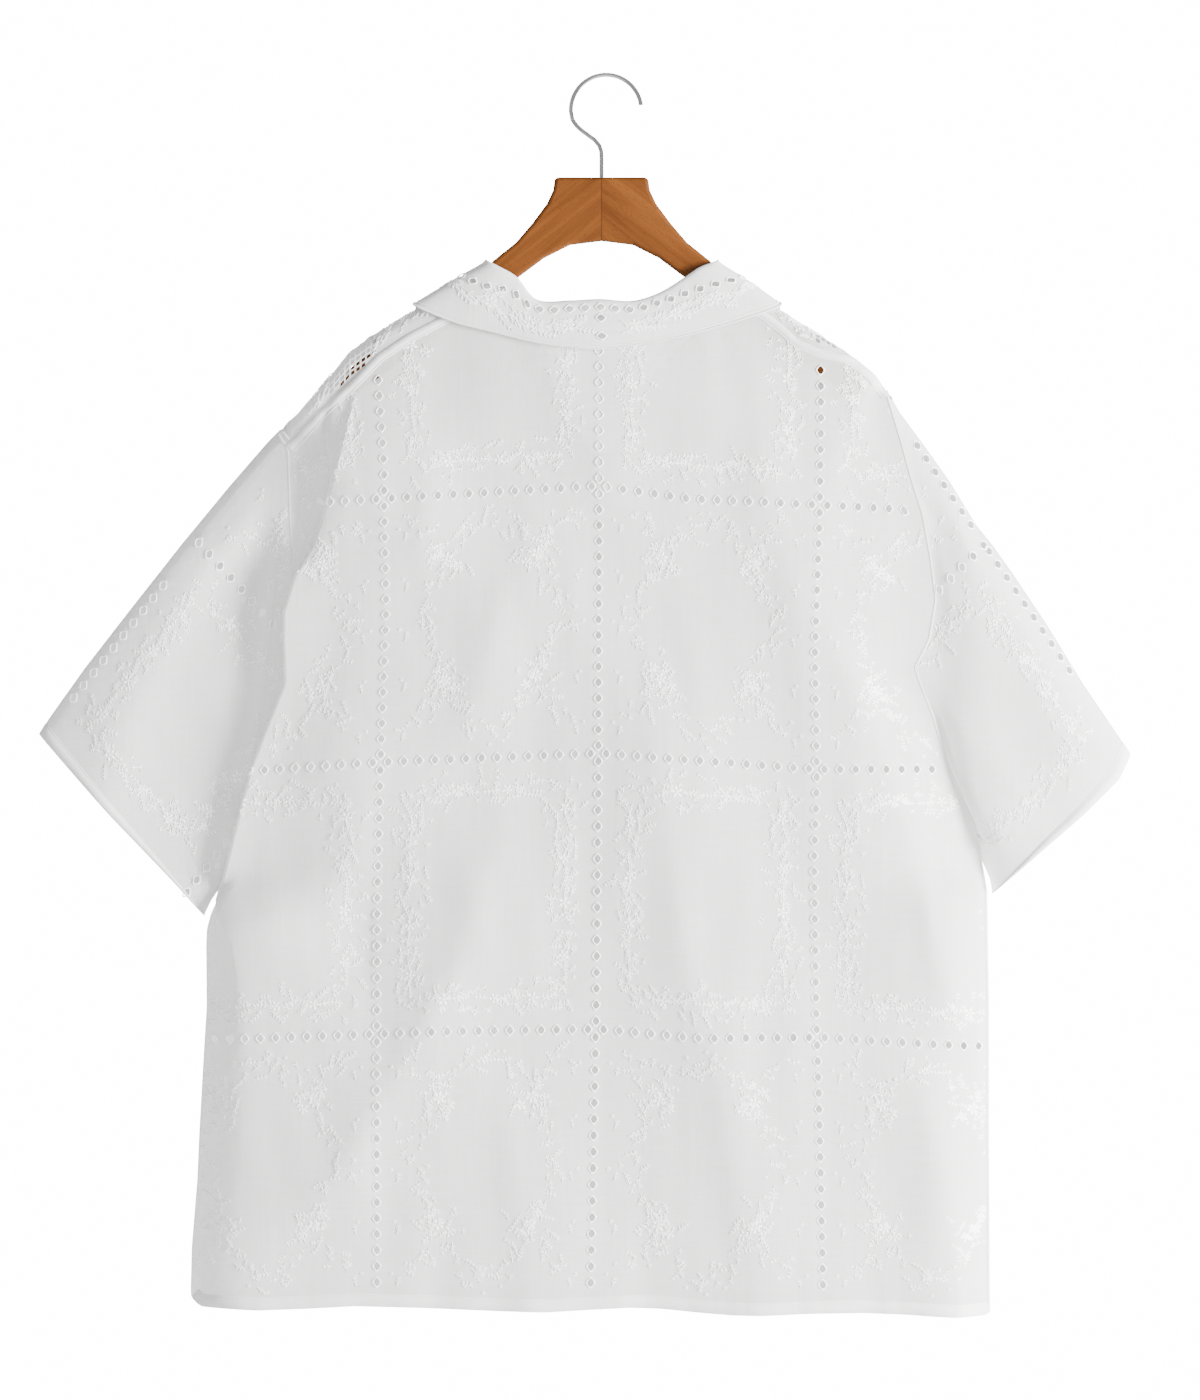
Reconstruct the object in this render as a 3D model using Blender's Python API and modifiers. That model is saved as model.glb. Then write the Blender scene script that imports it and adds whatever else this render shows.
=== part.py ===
"""Lace shirt on a wooden hanger, back towards -Y, up +Z, metres.

Origin: the inner top of the hook, where the whole thing hangs.
Tables are in millimetres in the plane of the back (x to the right, z up);
y is worked out from the depth functions.
"""
import math

import bmesh
import bpy
import numpy as np
from mathutils import Matrix

for o in list(bpy.data.objects):
    bpy.data.objects.remove(o, do_unlink=True)

MM = 0.001
WALL = 1.2            # cloth wall, kept above 1 mm so that it prints and packs
SEAM_GAP = 0.5        # between the edges of two pieces at a seam
CENTRE_X = -1.9       # front opening and hanger middle

# top line of the shoulders: x, z, half depth of the roll over the hanger, its height
SHOULDER = (
    (-262.0, -290.0, 3.0, 4.0), (-241.0, -262.0, 3.0, 4.0), (-223.5, -244.7, 6.0, 8.0),
    (-211.0, -230.7, 8.0, 10.0), (-200.5, -217.3, 8.5, 10.5), (-188.7, -203.3, 8.5, 10.5),
    (-173.2, -192.2, 8.5, 10.5), (-149.5, -177.5, 8.5, 10.5), (-140.6, -172.5, 8.5, 10.5),
    (-116.0, -157.0, 8.5, 10.5), (-102.0, -148.5, 8.5, 10.5), (-88.0, -140.0, 8.5, 10.5),
    (-60.0, -122.0, 8.5, 10.5), (0.0, -100.0, 8.5, 10.5), (60.0, -122.0, 8.5, 10.5),
    (84.0, -141.0, 8.5, 10.5), (97.0, -149.0, 8.5, 10.5), (107.0, -156.0, 8.5, 10.5),
    (130.0, -172.3, 8.5, 10.5), (154.7, -187.5, 8.5, 10.5), (178.3, -202.5, 8.5, 10.5),
    (190.0, -211.5, 8.3, 10.0), (198.3, -218.8, 7.0, 8.5), (204.0, -225.5, 5.2, 6.6), (208.7, -231.0, 3.6, 5.0),
    (230.0, -262.0, 3.0, 4.0))
# half depth of the body at its middle: z, depth
DEPTH = ((-920.0, 31.0), (-620.0, 28.0), (-450.0, 25.0), (-300.0, 19.0), (-200.0, 13.5), (-130.0, 9.5))
# hem: x, z
HEM = ((-312.0, -899.0), (-305.6, -901.8), (-298.2, -908.0), (-254.6, -909.8), (-218.3, -908.5),
       (-183.5, -906.6), (-135.4, -907.8), (-77.0, -910.0), (-42.9, -910.7), (-8.9, -908.9),
       (18.5, -907.5), (42.2, -908.3), (67.3, -910.7), (93.2, -912.6), (115.4, -912.9),
       (150.2, -911.5), (188.7, -911.1), (223.5, -912.4), (255.3, -914.6), (281.2, -914.8),
       (290.0, -912.0))
# left edge of the back (side seam, then armhole seam): z, x
BACK_LEFT = ((-915.0, -304.5), (-897.4, -305.2), (-866.3, -304.5), (-816.0, -300.4), (-783.4, -299.0),
             (-717.6, -295.3), (-688.0, -293.4), (-641.4, -293.8), (-630.0, -293.2), (-620.0, -290.5), (-611.0, -286.5),
             (-597.0, -279.7), (-579.9, -269.4), (-549.6, -262.0), (-512.6, -251.6), (-480.8, -239.0),
             (-449.0, -228.5), (-416.4, -227.6), (-364.6, -229.4), (-320.2, -231.6), (-275.8, -233.1),
             (-268.4, -237.0), (-250.0, -262.0), (-230.0, -300.0), (-150.0, -420.0))
# right edge of the back: z, x
BACK_RIGHT = ((-915.0, 284.9), (-775.3, 284.2), (-682.8, 284.2), (-639.1, 283.4), (-603.6, 283.0),
              (-583.6, 279.7), (-554.0, 274.5), (-533.3, 264.9), (-505.2, 252.3), (-471.9, 242.7),
              (-449.7, 233.8), (-437.0, 229.5), (-416.4, 240.0), (-386.8, 244.9), (-357.2, 241.2),
              (-323.9, 235.3), (-298.0, 227.2), (-270.6, 219.8), (-233.6, 208.7), (-215.0, 240.0),
              (-190.0, 300.0), (-140.0, 400.0))
# armhole edge of the fronts, side seam below: z, x
FRONT_LEFT = ((-915.0, -304.5), (-897.4, -305.2), (-866.3, -304.5), (-816.0, -300.4), (-783.4, -299.0),
              (-717.6, -295.3), (-688.0, -293.4), (-641.4, -293.8), (-630.0, -293.2), (-620.0, -290.5), (-611.0, -286.5),
              (-597.0, -279.7), (-583.0, -275.5), (-550.0, -268.0), (-505.0, -260.0), (-461.0, -252.5),
              (-402.0, -246.0), (-357.0, -242.0), (-320.0, -239.5), (-276.0, -239.5), (-262.0, -241.0),
              (-240.0, -252.0), (-223.0, -260.0), (-190.0, -267.0), (-160.0, -264.0), (-140.0, -262.0))
FRONT_RIGHT = ((-915.0, 284.9), (-775.3, 284.2), (-682.8, 284.2), (-639.1, 283.4), (-603.6, 283.0),
               (-583.6, 279.7), (-565.0, 274.5), (-535.0, 266.5), (-495.0, 257.0), (-450.0, 250.5),
               (-400.0, 246.0), (-357.0, 241.5), (-320.0, 235.5), (-290.0, 228.5), (-262.0, 220.5),
               (-231.0, 208.7), (-215.0, 219.0), (-200.0, 229.0), (-180.0, 237.0), (-160.0, 241.0),
               (-140.0, 243.0))
# upper edge of the back: shoulder seams and neck: x, z
BACK_TOP = ((-262.0, -300.0), (-232.4, -273.0), (-208.7, -248.5), (-186.5, -228.5), (-165.8, -207.0),
            (-143.6, -192.2), (-120.6, -180.4), (-99.2, -168.0), (-79.0, -175.8), (-54.0, -184.4),
            (-28.0, -187.9), (-3.0, -188.6), (22.0, -187.6), (48.0, -182.8), (74.0, -174.0),
            (98.4, -165.8), (118.4, -176.0), (133.2, -187.8), (142.1, -196.5), (160.6, -204.0),
            (182.0, -208.3), (198.3, -221.5), (208.7, -235.5), (230.0, -262.0))
# inner edge of the fronts: z, x (front edge, roll line of the lapel, neck seam)
INNER_LEFT = ((-915.0, 10.5), (-318.0, 10.5), (-215.0, -44.6), (-210.5, -51.3), (-180.0, -84.4),
              (-160.0, -98.4), (-148.5, -103.6), (-120.0, -109.6))
INNER_RIGHT = ((-915.0, -14.5), (-318.0, -14.5), (-215.0, 41.2), (-210.5, 47.9), (-180.0, 80.4),
               (-160.0, 93.4), (-149.0, 98.6), (-120.0, 104.6))
# the deep fold of the back over the left sleeve: z, x of its edge, cloth taken in, lift
FOLD = ((-915.0, -281.0, 0.0, 0.0), (-740.0, -272.0, 0.0, 0.0), (-665.0, -271.0, 0.0, 4.5),
        (-642.0, -275.0, 2.0, 7.0), (-622.0, -284.0, 14.0, 8.5),
        (-608.0, -286.0, 24.0, 8.5), (-590.0, -280.0, 31.0, 9.0),
        (-550.0, -270.0, 36.0, 9.0), (-513.0, -260.5, 36.0, 9.0), (-481.0, -248.0, 36.0, 9.0),
        (-449.0, -235.0, 36.0, 9.0), (-416.0, -236.0, 36.0, 9.0), (-397.0, -236.0, 36.0, 9.0),
        (-368.0, -227.0, 36.0, 9.0), (-346.0, -213.8, 36.0, 9.0), (-331.0, -208.7, 36.0, 9.0),
        (-300.0, -200.5, 20.0, 9.5), (-272.0, -192.5, 6.0, 9.0), (-255.0, -188.5, 0.0, 6.0), (-235.0, -183.0, 0.0, 2.0),
        (-215.0, -178.0, 0.0, 0.0), (-140.0, -170.0, 0.0, 0.0))
FOLD_LEN = 18.0
# creases of the back: depth into the cloth (ridges below zero), reach to the left
# and to the right, then the line as z, x
CREASES_BACK = (
    (-10.0, 58.0, 120.0, ((-915.0, 116.0), (-853.0, 110.0), (-752.0, 88.0), (-671.0, 68.0), (-550.0, 46.0), (-480.0, 36.0), (-400.0, 26.0))),
    (-7.5, 44.0, 74.0, ((-870.0, -226.0), (-782.0, -179.0), (-711.0, -138.0), (-651.0, -103.0), (-600.0, -91.0), (-520.0, -66.0))),
    (-5.0, 34.0, 60.0, ((-520.0, -112.0), (-448.0, -91.0), (-388.0, -75.0), (-300.0, -44.0))),
    (-9.0, 56.0, 34.0, ((-720.0, 262.0), (-651.0, 246.0), (-570.0, 226.0), (-489.0, 200.0), (-438.0, 178.0), (-365.0, 140.0))),
    (-6.5, 52.0, 30.0, ((-915.0, 262.0), (-823.0, 250.0), (-752.0, 232.0), (-680.0, 204.0))),
    (-5.5, 40.0, 60.0, ((-915.0, -50.0), (-853.0, -54.0), (-782.0, -68.0), (-700.0, -93.0))),
    (-4.0, 34.0, 44.0, ((-340.0, 4.0), (-270.0, -6.0), (-195.0, -20.0))),
    (-4.0, 34.0, 40.0, ((-440.0, 152.0), (-327.0, 126.0), (-225.0, 104.0))),
    (-3.5, 30.0, 44.0, ((-400.0, -150.0), (-310.0, -128.0), (-225.0, -112.0))),
    (3.0, 34.0, 34.0, ((-690.0, -190.0), (-600.0, -168.0), (-500.0, -160.0))),
    (-4.0, 34.0, 44.0, ((-560.0, -214.0), (-402.0, -182.0))),
)
CREASES_FRONT = (
    (7.0, 30.0, 16.0, ((-915.0, -150.0), (-760.0, -132.0), (-600.0, -112.0), (-520.0, -100.0))),
    (6.0, 20.0, 32.0, ((-915.0, 178.0), (-740.0, 160.0), (-590.0, 128.0))),
    (5.0, 28.0, 20.0, ((-915.0, -236.0), (-770.0, -216.0), (-660.0, -196.0))),
    (5.0, 20.0, 26.0, ((-520.0, 208.0), (-420.0, 182.0), (-330.0, 160.0))),
    (4.0, 22.0, 22.0, ((-500.0, -190.0), (-400.0, -176.0), (-320.0, -166.0))),
    (-4.0, 34.0, 34.0, ((-915.0, -70.0), (-700.0, -62.0), (-520.0, -58.0))),
    (-4.0, 34.0, 34.0, ((-915.0, 92.0), (-700.0, 84.0), (-520.0, 78.0))),
)
# sleeves: top line and cuff line as x, z; half depth at armhole and cuff
SLEEVE_LEFT_TOP = ((-241.5, -262.5), (-249.4, -270.6), (-278.2, -303.9), (-313.0, -346.1), (-348.5, -391.2),
                   (-384.1, -437.1), (-402.6, -463.0), (-411.4, -475.6), (-418.0, -486.4))
SLEEVE_LEFT_CUFF = ((-418.0, -486.4), (-363.3, -548.1), (-313.0, -601.4), (-296.0, -620.5))
SLEEVE_LEFT_UNDER = ((-281.8, -596.5), (-290.5, -609.0), (-296.0, -620.5))
SLEEVE_RIGHT_TOP = ((209.5, -231.5), (219.0, -248.4), (236.1, -271.4), (256.0, -299.5), (275.3, -331.3),
                    (288.0, -347.0), (302.7, -367.6), (327.8, -405.3), (354.5, -449.0), (381.1, -488.2),
                    (389.5, -501.5))
SLEEVE_RIGHT_CUFF = ((389.5, -501.5), (379.6, -520.0), (352.2, -546.6), (323.4, -571.8), (287.4, -604.0))
SLEEVE_RIGHT_UNDER = ((282.0, -583.0), (285.6, -594.0), (287.4, -604.0))
UNDERARM_LEFT_Z, UNDERARM_RIGHT_Z = -597.0, -583.6
ARM_TOP_LEFT_Z, ARM_TOP_RIGHT_Z = -262.0, -231.0
ARM_HALF = 12.0
# collar stations, left front end round the back to the right front end:
# side (1 front, 0 top of shoulder, -1 back), then x, z of neck seam, roll, outer edge
COLLAR = (
    (1.0, -50.0, -210.0, -43.0, -203.0, -112.0, -240.0),
    (1.0, -68.0, -195.0, -58.5, -186.0, -121.0, -226.0),
    (1.0, -85.0, -177.0, -70.5, -166.0, -130.0, -207.0),
    (1.0, -97.0, -159.0, -81.0, -146.5, -137.0, -188.0),
    (0.7, -101.0, -150.6, -86.3, -136.4, -139.8, -170.6),
    (0.0, -101.6, -147.8, -87.5, -134.3, -140.4, -167.6),
    (-0.7, -100.8, -150.8, -86.0, -136.2, -139.0, -170.8),
    (-1.0, -98.6, -166.8, -79.0, -140.0, -110.3, -182.6),
    (-1.0, -79.0, -174.9, -64.4, -148.5, -84.4, -189.2),
    (-1.0, -54.0, -183.4, -49.6, -165.2, -51.1, -197.4),
    (-1.0, -28.0, -186.9, -25.0, -165.8, -24.0, -201.2),
    (-1.0, -3.0, -187.6, -3.0, -164.8, -1.5, -202.5),
    (-1.0, 22.0, -186.6, 20.0, -166.2, 27.4, -198.8),
    (-1.0, 48.0, -181.8, 40.0, -160.4, 57.7, -192.9),
    (-1.0, 74.0, -173.0, 58.5, -149.3, 88.1, -184.8),
    (-1.0, 97.6, -164.4, 71.0, -141.0, 107.3, -178.9),
    (-0.7, 96.0, -151.0, 82.6, -136.4, 129.6, -170.8),
    (0.0, 96.4, -148.2, 84.0, -134.5, 130.6, -167.4),
    (0.7, 95.6, -150.8, 82.6, -136.6, 130.4, -170.8),
    (1.0, 91.6, -159.0, 77.0, -146.5, 131.0, -188.0),
    (1.0, 80.6, -177.0, 66.5, -166.0, 125.0, -207.0),
    (1.0, 64.0, -195.0, 54.5, -186.0, 116.0, -226.0),
    (1.0, 46.4, -210.0, 39.4, -203.0, 107.0, -240.0),
)
BUTTON_Z = (-333.0, -447.0, -561.0, -675.0, -789.0)
BUTTON_R, BUTTON_T = 5.5, 2.2
# half outline of the hanger from the top middle round to the underside middle: x, z
HANGER = ((-1.9, -74.5), (-34.4, -74.5), (-36.6, -76.4), (-37.7, -84.1), (-42.2, -93.8), (-52.5, -107.8),
          (-65.1, -122.6), (-82.1, -136.2), (-90.0, -146.5), (-99.2, -156.0), (-120.6, -170.0), (-149.5, -189.0),
          (-173.2, -204.5), (-186.0, -214.0), (-196.0, -227.0), (-198.0, -238.0), (-194.0, -241.5),
          (-188.0, -237.5), (-173.2, -227.0), (-151.0, -211.2), (-121.4, -190.0), (-91.8, -168.9),
          (-64.4, -148.8), (-44.4, -133.9), (-25.2, -124.2), (-1.9, -121.3))
HANGER_HALF, HANGER_BEVEL = 6.0, 3.2
HOOK_WIRE, HOOK_R = 1.65, 26.1
# rows and columns
HEM_F = 0.014
BACK_ROWS = [0.0, HEM_F] + [HEM_F + (0.42 - HEM_F) * i / 7 for i in range(1, 8)] + \
            [0.438, 0.452, 0.466, 0.485, 0.5, 0.52] + [0.52 + 0.48 * i / 12 for i in range(1, 13)]
FRONT_ROWS = [0.0, HEM_F] + [HEM_F + (0.483 - HEM_F) * i / 9 for i in range(1, 10)] + \
             [0.545, 0.607, 0.669, 0.731, 0.77, 0.79, 0.81, 0.83, 0.85, 0.87, 0.895, 0.925, 0.962, 1.0]
FOLD_T = (1.0, 0.91, 0.78, 0.5, 0.22, 0.09, 0.0)


# ---------------------------------------------------------------- functions
def table(rows, v, col=1):
    r = sorted(rows)
    return np.interp(v, [q[0] for q in r], [q[col] for q in r])


def smooth(t):
    t = np.clip(t, 0.0, 1.0)
    return t * t * (3.0 - 2.0 * t)


def along(pts, t):
    """Point at fraction t of the length of a line of points."""
    p = np.array(pts, float)
    d = np.r_[0.0, np.cumsum(np.hypot(*np.diff(p, axis=0).T))]
    t = np.asarray(t, float) * d[-1]
    return np.stack([np.interp(t, d, p[:, 0]), np.interp(t, d, p[:, 1])], -1)


def creases(which, x, z):
    out = np.zeros(np.broadcast(x, z).shape)
    for depth, left, right, line in which:
        z0, z1 = line[0][0], line[-1][0]
        fade = smooth((z - z0) / 60.0 + (1.0 if z0 < -900 else 0.0)) * smooth((z1 - z) / 110.0)
        d = x - table(line, z)
        reach = 0.62 * np.where(d < 0, left, right)
        out = out + depth * fade * np.exp(-(np.sqrt(d * d + 110.0) - 10.5) / reach)
    return out


def half_depth(x, z):
    top, ry, rz = table(SHOULDER, x, 1), table(SHOULDER, x, 2), table(SHOULDER, x, 3)
    d = top - z
    arc = ry * np.sqrt(np.clip(1 - (1 - np.clip(d / rz, 0, 1)) ** 2, 0, 1))
    return arc + np.maximum(table(DEPTH, z) - ry, 0) * smooth((d - rz) / 120.0)


def arm_half(z, top, under):
    s = np.clip((top - z) / (top - under), 0, 1)
    return ARM_HALF * np.sqrt(1 - (2 * s - 1) ** 2)


def body_depth(x, z, left, right):
    """Depth of one side of the body: full in the middle, down to the edges."""
    h = half_depth(x, z)
    xm = (x < 0)
    edge = np.where(xm, x - table(left, z), table(right, z) - x)
    ha = np.where(xm, arm_half(z, ARM_TOP_LEFT_Z, UNDERARM_LEFT_Z), arm_half(z, ARM_TOP_RIGHT_Z, UNDERARM_RIGHT_Z))
    ha = np.maximum(ha, 0.8)
    under = np.where(xm, UNDERARM_LEFT_Z, UNDERARM_RIGHT_Z)
    top = np.where(xm, ARM_TOP_LEFT_Z, ARM_TOP_RIGHT_Z)
    seam = smooth((z - under + 40.0) / 60.0)          # 0 at the side seam, 1 at the armhole
    e = np.clip(edge / 52.0, 0, 1)
    soft = smooth(edge / (24.0 + 66.0 * smooth((top - z) / 90.0)))
    side = (1 - seam) * np.sqrt(1 - (1 - e) ** 2) + seam * soft
    return ha + (h - ha) * side, np.maximum(e, 0)


def fold_x(a, z):
    x0, take = table(FOLD, z, 1), table(FOLD, z, 2)
    t = (x0 - a) / FOLD_LEN
    return a + take * smooth(t), t, x0


def back_point(a, z):
    """a is x in the cloth with the deep fold opened out."""
    x, t, x0 = fold_x(a, z)
    base, e = body_depth(x, z, BACK_LEFT, BACK_RIGHT)
    lift = table(FOLD, z, 3)
    tc = np.clip(t, 0, 1)
    turned = tc + 0.9 * np.sin(2 * math.pi * tc) / (2 * math.pi)
    over = lift * (1 - turned) * np.exp(-(np.maximum(x - x0, 0) / 62.0) ** 2)
    relief = creases(CREASES_BACK, x, z) * smooth(e * 2.0) * (t < 0.0)
    return np.stack([x, -(base + over - relief), z], -1)


def front_point(x, z, lap):
    base, e = body_depth(x, z, FRONT_LEFT, FRONT_RIGHT)
    relief = creases(CREASES_FRONT, x, z) * smooth(e * 2.0)
    near = 1 - smooth((np.abs(x - CENTRE_X) - 22.0) / 25.0)
    return np.stack([x, base - relief + lap * 1.25 * near, z], -1)


# ---------------------------------------------------------------- making things
bag = bpy.data.collections.new("lace_shirt")
bpy.context.scene.collection.children.link(bag)


def material(name, color, rough, metallic=0.0):
    m = bpy.data.materials.new(name)
    m.use_nodes = True
    b = m.node_tree.nodes["Principled BSDF"]
    b.inputs["Base Color"].default_value = (*color, 1.0)
    b.inputs["Roughness"].default_value = rough
    b.inputs["Metallic"].default_value = metallic
    return m


MATS = {
    "fabric": ((0.86, 0.86, 0.85), 0.85, 0.0),
    "wood": ((0.44, 0.19, 0.075), 0.42, 0.0),
    "chrome": ((0.75, 0.75, 0.77), 0.12, 1.0),
    "matte_plastic": ((0.80, 0.79, 0.76), 0.4, 0.0),
}


def add(name, mesh, slot):
    ob = bpy.data.objects.new(name, mesh)
    bag.objects.link(ob)
    color, rough, metal = MATS[slot]
    ob.data.materials.append(material("%s_%s" % (slot, name), color, rough, metal))
    return ob


def grid_mesh(name, pts, faces):
    me = bpy.data.meshes.new(name)
    me.from_pydata([tuple(float(c) * MM for c in p) for p in pts], [], faces)
    me.update()
    bm = bmesh.new()
    bm.from_mesh(me)
    bmesh.ops.recalc_face_normals(bm, faces=bm.faces)
    bm.to_mesh(me)
    bm.free()
    return me


def shell(ob):
    s = ob.modifiers.new("wall", "SOLIDIFY")
    s.thickness = WALL * MM
    s.offset = 0.0
    s.use_even_offset = False
    s.use_quality_normals = True


def quads(nr, nc, wrap=False, start=0):
    f = []
    for j in range(nr - 1):
        for k in range(nc if wrap else nc - 1):
            k1 = (k + 1) % nc
            f.append((start + j * nc + k, start + j * nc + k1, start + (j + 1) * nc + k1, start + (j + 1) * nc + k))
    return f


# ---------------------------------------------------------------- back
def back_columns():
    cols = [("under", s) for s in (0.0, 0.5)] + [("fold", t) for t in FOLD_T]
    cols += [("face", s) for s in (0.03, 0.075)] + [("face", 0.075 + 0.925 * i / 18) for i in range(1, 19)]
    return cols


def back_a(kind, s, z):
    x0 = table(FOLD, z, 1)
    if kind == "fold":
        return x0 - FOLD_LEN * s
    if kind == "face":
        return x0 + (table(BACK_RIGHT, z) - x0 - SEAM_GAP * 0.5) * s
    first = table(BACK_LEFT, z) + SEAM_GAP * 0.5 - table(FOLD, z, 2)
    return first + (x0 - FOLD_LEN - first) * s


def back_grid():
    cols = back_columns()
    g = np.zeros((len(BACK_ROWS), len(cols), 3))
    for k, (kind, s) in enumerate(cols):
        zb, zt = -905.0, -230.0
        for _ in range(30):
            zb = 0.5 * zb + 0.5 * float(table(HEM, fold_x(back_a(kind, s, zb), zb)[0]))
            zt = 0.6 * zt + 0.4 * float(table(BACK_TOP, fold_x(back_a(kind, s, zt), zt)[0]))
        for j, f in enumerate(BACK_ROWS):
            z = zb + (zt - zb) * f
            g[j, k] = back_point(np.float64(back_a(kind, s, z)), np.float64(z))
    return g


BACK = back_grid()
nr, nc = BACK.shape[:2]
back = add("back", grid_mesh("back", BACK.reshape(-1, 3), quads(nr, nc)), "fabric")
shell(back)


# ---------------------------------------------------------------- fronts
def over_shoulder(x, turn, drop, edge, neck):
    """Point past the top of the shoulder: turn from 0 (front) to pi (back)."""
    x = x + neck * (math.sin(turn) if turn < math.pi / 2 else 0.45 + 0.55 * (math.sin(turn) if neck < 0 else 1.0))
    top, ry, rz = table(SHOULDER, x, 1), table(SHOULDER, x, 2), table(SHOULDER, x, 3)
    past = max(0.0, (turn - math.pi / 2) / (math.pi / 2)) + drop / 12.0
    return (x + edge * past, ry * math.cos(turn), top - rz + rz * math.sin(turn) - drop)


def front_grid(outer, inner, lap, sign):
    cols = [0.0, 0.035, 0.09] + [0.09 + 0.88 * i / 9 for i in range(1, 10)] + [1.0]
    rows = []
    wrap_n = 4
    g = np.zeros((len(FRONT_ROWS) + wrap_n, len(cols), 3))
    for k, s in enumerate(cols):
        def xa(z):
            lo, hi = table(outer, z), table(inner, z)
            return lo + (hi - lo) * s
        zb, zt = -905.0, -230.0
        for _ in range(30):
            zb = 0.5 * zb + 0.5 * float(table(HEM, xa(zb)))
            zt = 0.6 * zt + 0.4 * float(table(SHOULDER, xa(zt), 1) - table(SHOULDER, xa(zt), 3))
        for j, f in enumerate(FRONT_ROWS):
            z = zb + (zt - zb) * f
            g[j, k] = front_point(np.float64(xa(z)), np.float64(z), lap)
        x = float(xa(zt))
        top, rz = float(table(SHOULDER, x, 1)), float(table(SHOULDER, x, 3))
        edge = -sign * 6.0 * (1 - min(s / 0.09, 1.0)) if sign < 0 else 0.0
        xe = x + 1.4 * edge
        slope = float(table(BACK_TOP, xe + 3.0) - table(BACK_TOP, xe - 3.0)) / 6.0
        seam = float(table(BACK_TOP, xe)) + 1.7 * math.hypot(1.0, slope)
        if seam < top - rz:
            end, drop = math.pi, top - rz - seam
        else:
            end, drop = math.pi - math.asin(min(1.0, (seam - top + rz) / rz)), 0.0
        for i in range(wrap_n):
            u = (i + 1) / wrap_n
            g[len(FRONT_ROWS) + i, k] = over_shoulder(x, end * min(1.0, u * 4 / 3) if drop > 0.5 else end * u,
                                                     drop if (drop > 0.5 and i == wrap_n - 1) else 0.0, edge,
                                                     sign * 5.2 * float(smooth((s - 0.8) / 0.2)))
    return g


def lapel(inner, side, first, lap):
    """Rows of the turned-back corner: distance up the roll line, width, turn."""
    p0 = np.array([table(inner, -318.0), -318.0])
    p1 = np.array([table(inner, -215.0), -215.0])
    length = np.hypot(*(p1 - p0))
    d = (p1 - p0) / length
    n = np.array([side * abs(d[1]), -abs(d[0])])
    rise = abs(d[0]) / abs(d[1])
    return p0, d, n, rise, length


def front(name, outer, inner, lap, sign, first):
    g = front_grid(outer, inner, lap, sign)
    nr, nc = g.shape[:2]
    pts = [tuple(p) for p in g.reshape(-1, 3)]
    faces = quads(nr, nc)
    p0, d, n, rise, length = lapel(inner, sign, first, lap)
    edge = [(j, g[j, nc - 1]) for j in range(nr) if -318.0 + first * d[1] - 2 <= g[j, nc - 1][2] <= -214.0
            and g[j, nc - 1][1] > 0]
    rows = []
    for j, p in edge:
        r = (p[2] + 318.0) / d[1]
        full = min(rise * r, max(4.0, 45.0 * (length - r) / (length - 84.0)))
        w = max(7.0, full * float(smooth((r - first + 14.0) / 22.0)))
        turn = math.pi * float(smooth(0.25 + 0.75 * (r - first) / 34.0))
        line = []
        rho = 1.8
        for u in (0.5, 1.0):
            q = turn * u
            line.append((p[0] - n[0] * rho * math.sin(q), p[1] + rho * (1 - math.cos(q)), p[2] - n[1] * rho * math.sin(q)))
        e = line[-1]
        for u in (0.3, 0.65, 1.0):
            dx, dy = -math.cos(turn) * w * u, math.sin(turn) * w * u
            x, z = e[0] + n[0] * dx, e[2] + n[1] * dx
            lift = 0.0
            if turn > 2.6:
                lift = float(front_point(np.float64(x), np.float64(z), lap)[1] - front_point(np.float64(p[0]), np.float64(p[2]), lap)[1])
            line.append((x, e[1] + dy + max(lift, 0.0) + 0.6 * u, z))
        rows.append((j, line))
    base = len(pts)
    for j, line in rows:
        pts += line
    for i in range(len(rows) - 1):
        ja, jb = rows[i][0], rows[i + 1][0]
        a = [ja * nc + nc - 1] + [base + i * 5 + c for c in range(5)]
        b = [jb * nc + nc - 1] + [base + (i + 1) * 5 + c for c in range(5)]
        for c in range(5):
            faces.append((a[c], a[c + 1], b[c + 1], b[c]))
    ob = add(name, grid_mesh(name, pts, faces), "fabric")
    shell(ob)
    return g


FL = front("front_left", FRONT_LEFT, INNER_LEFT, -1.0, -1.0, 34.0)
FR = front("front_right", FRONT_RIGHT, INNER_RIGHT, 1.0, 1.0, 2.0)


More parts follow.
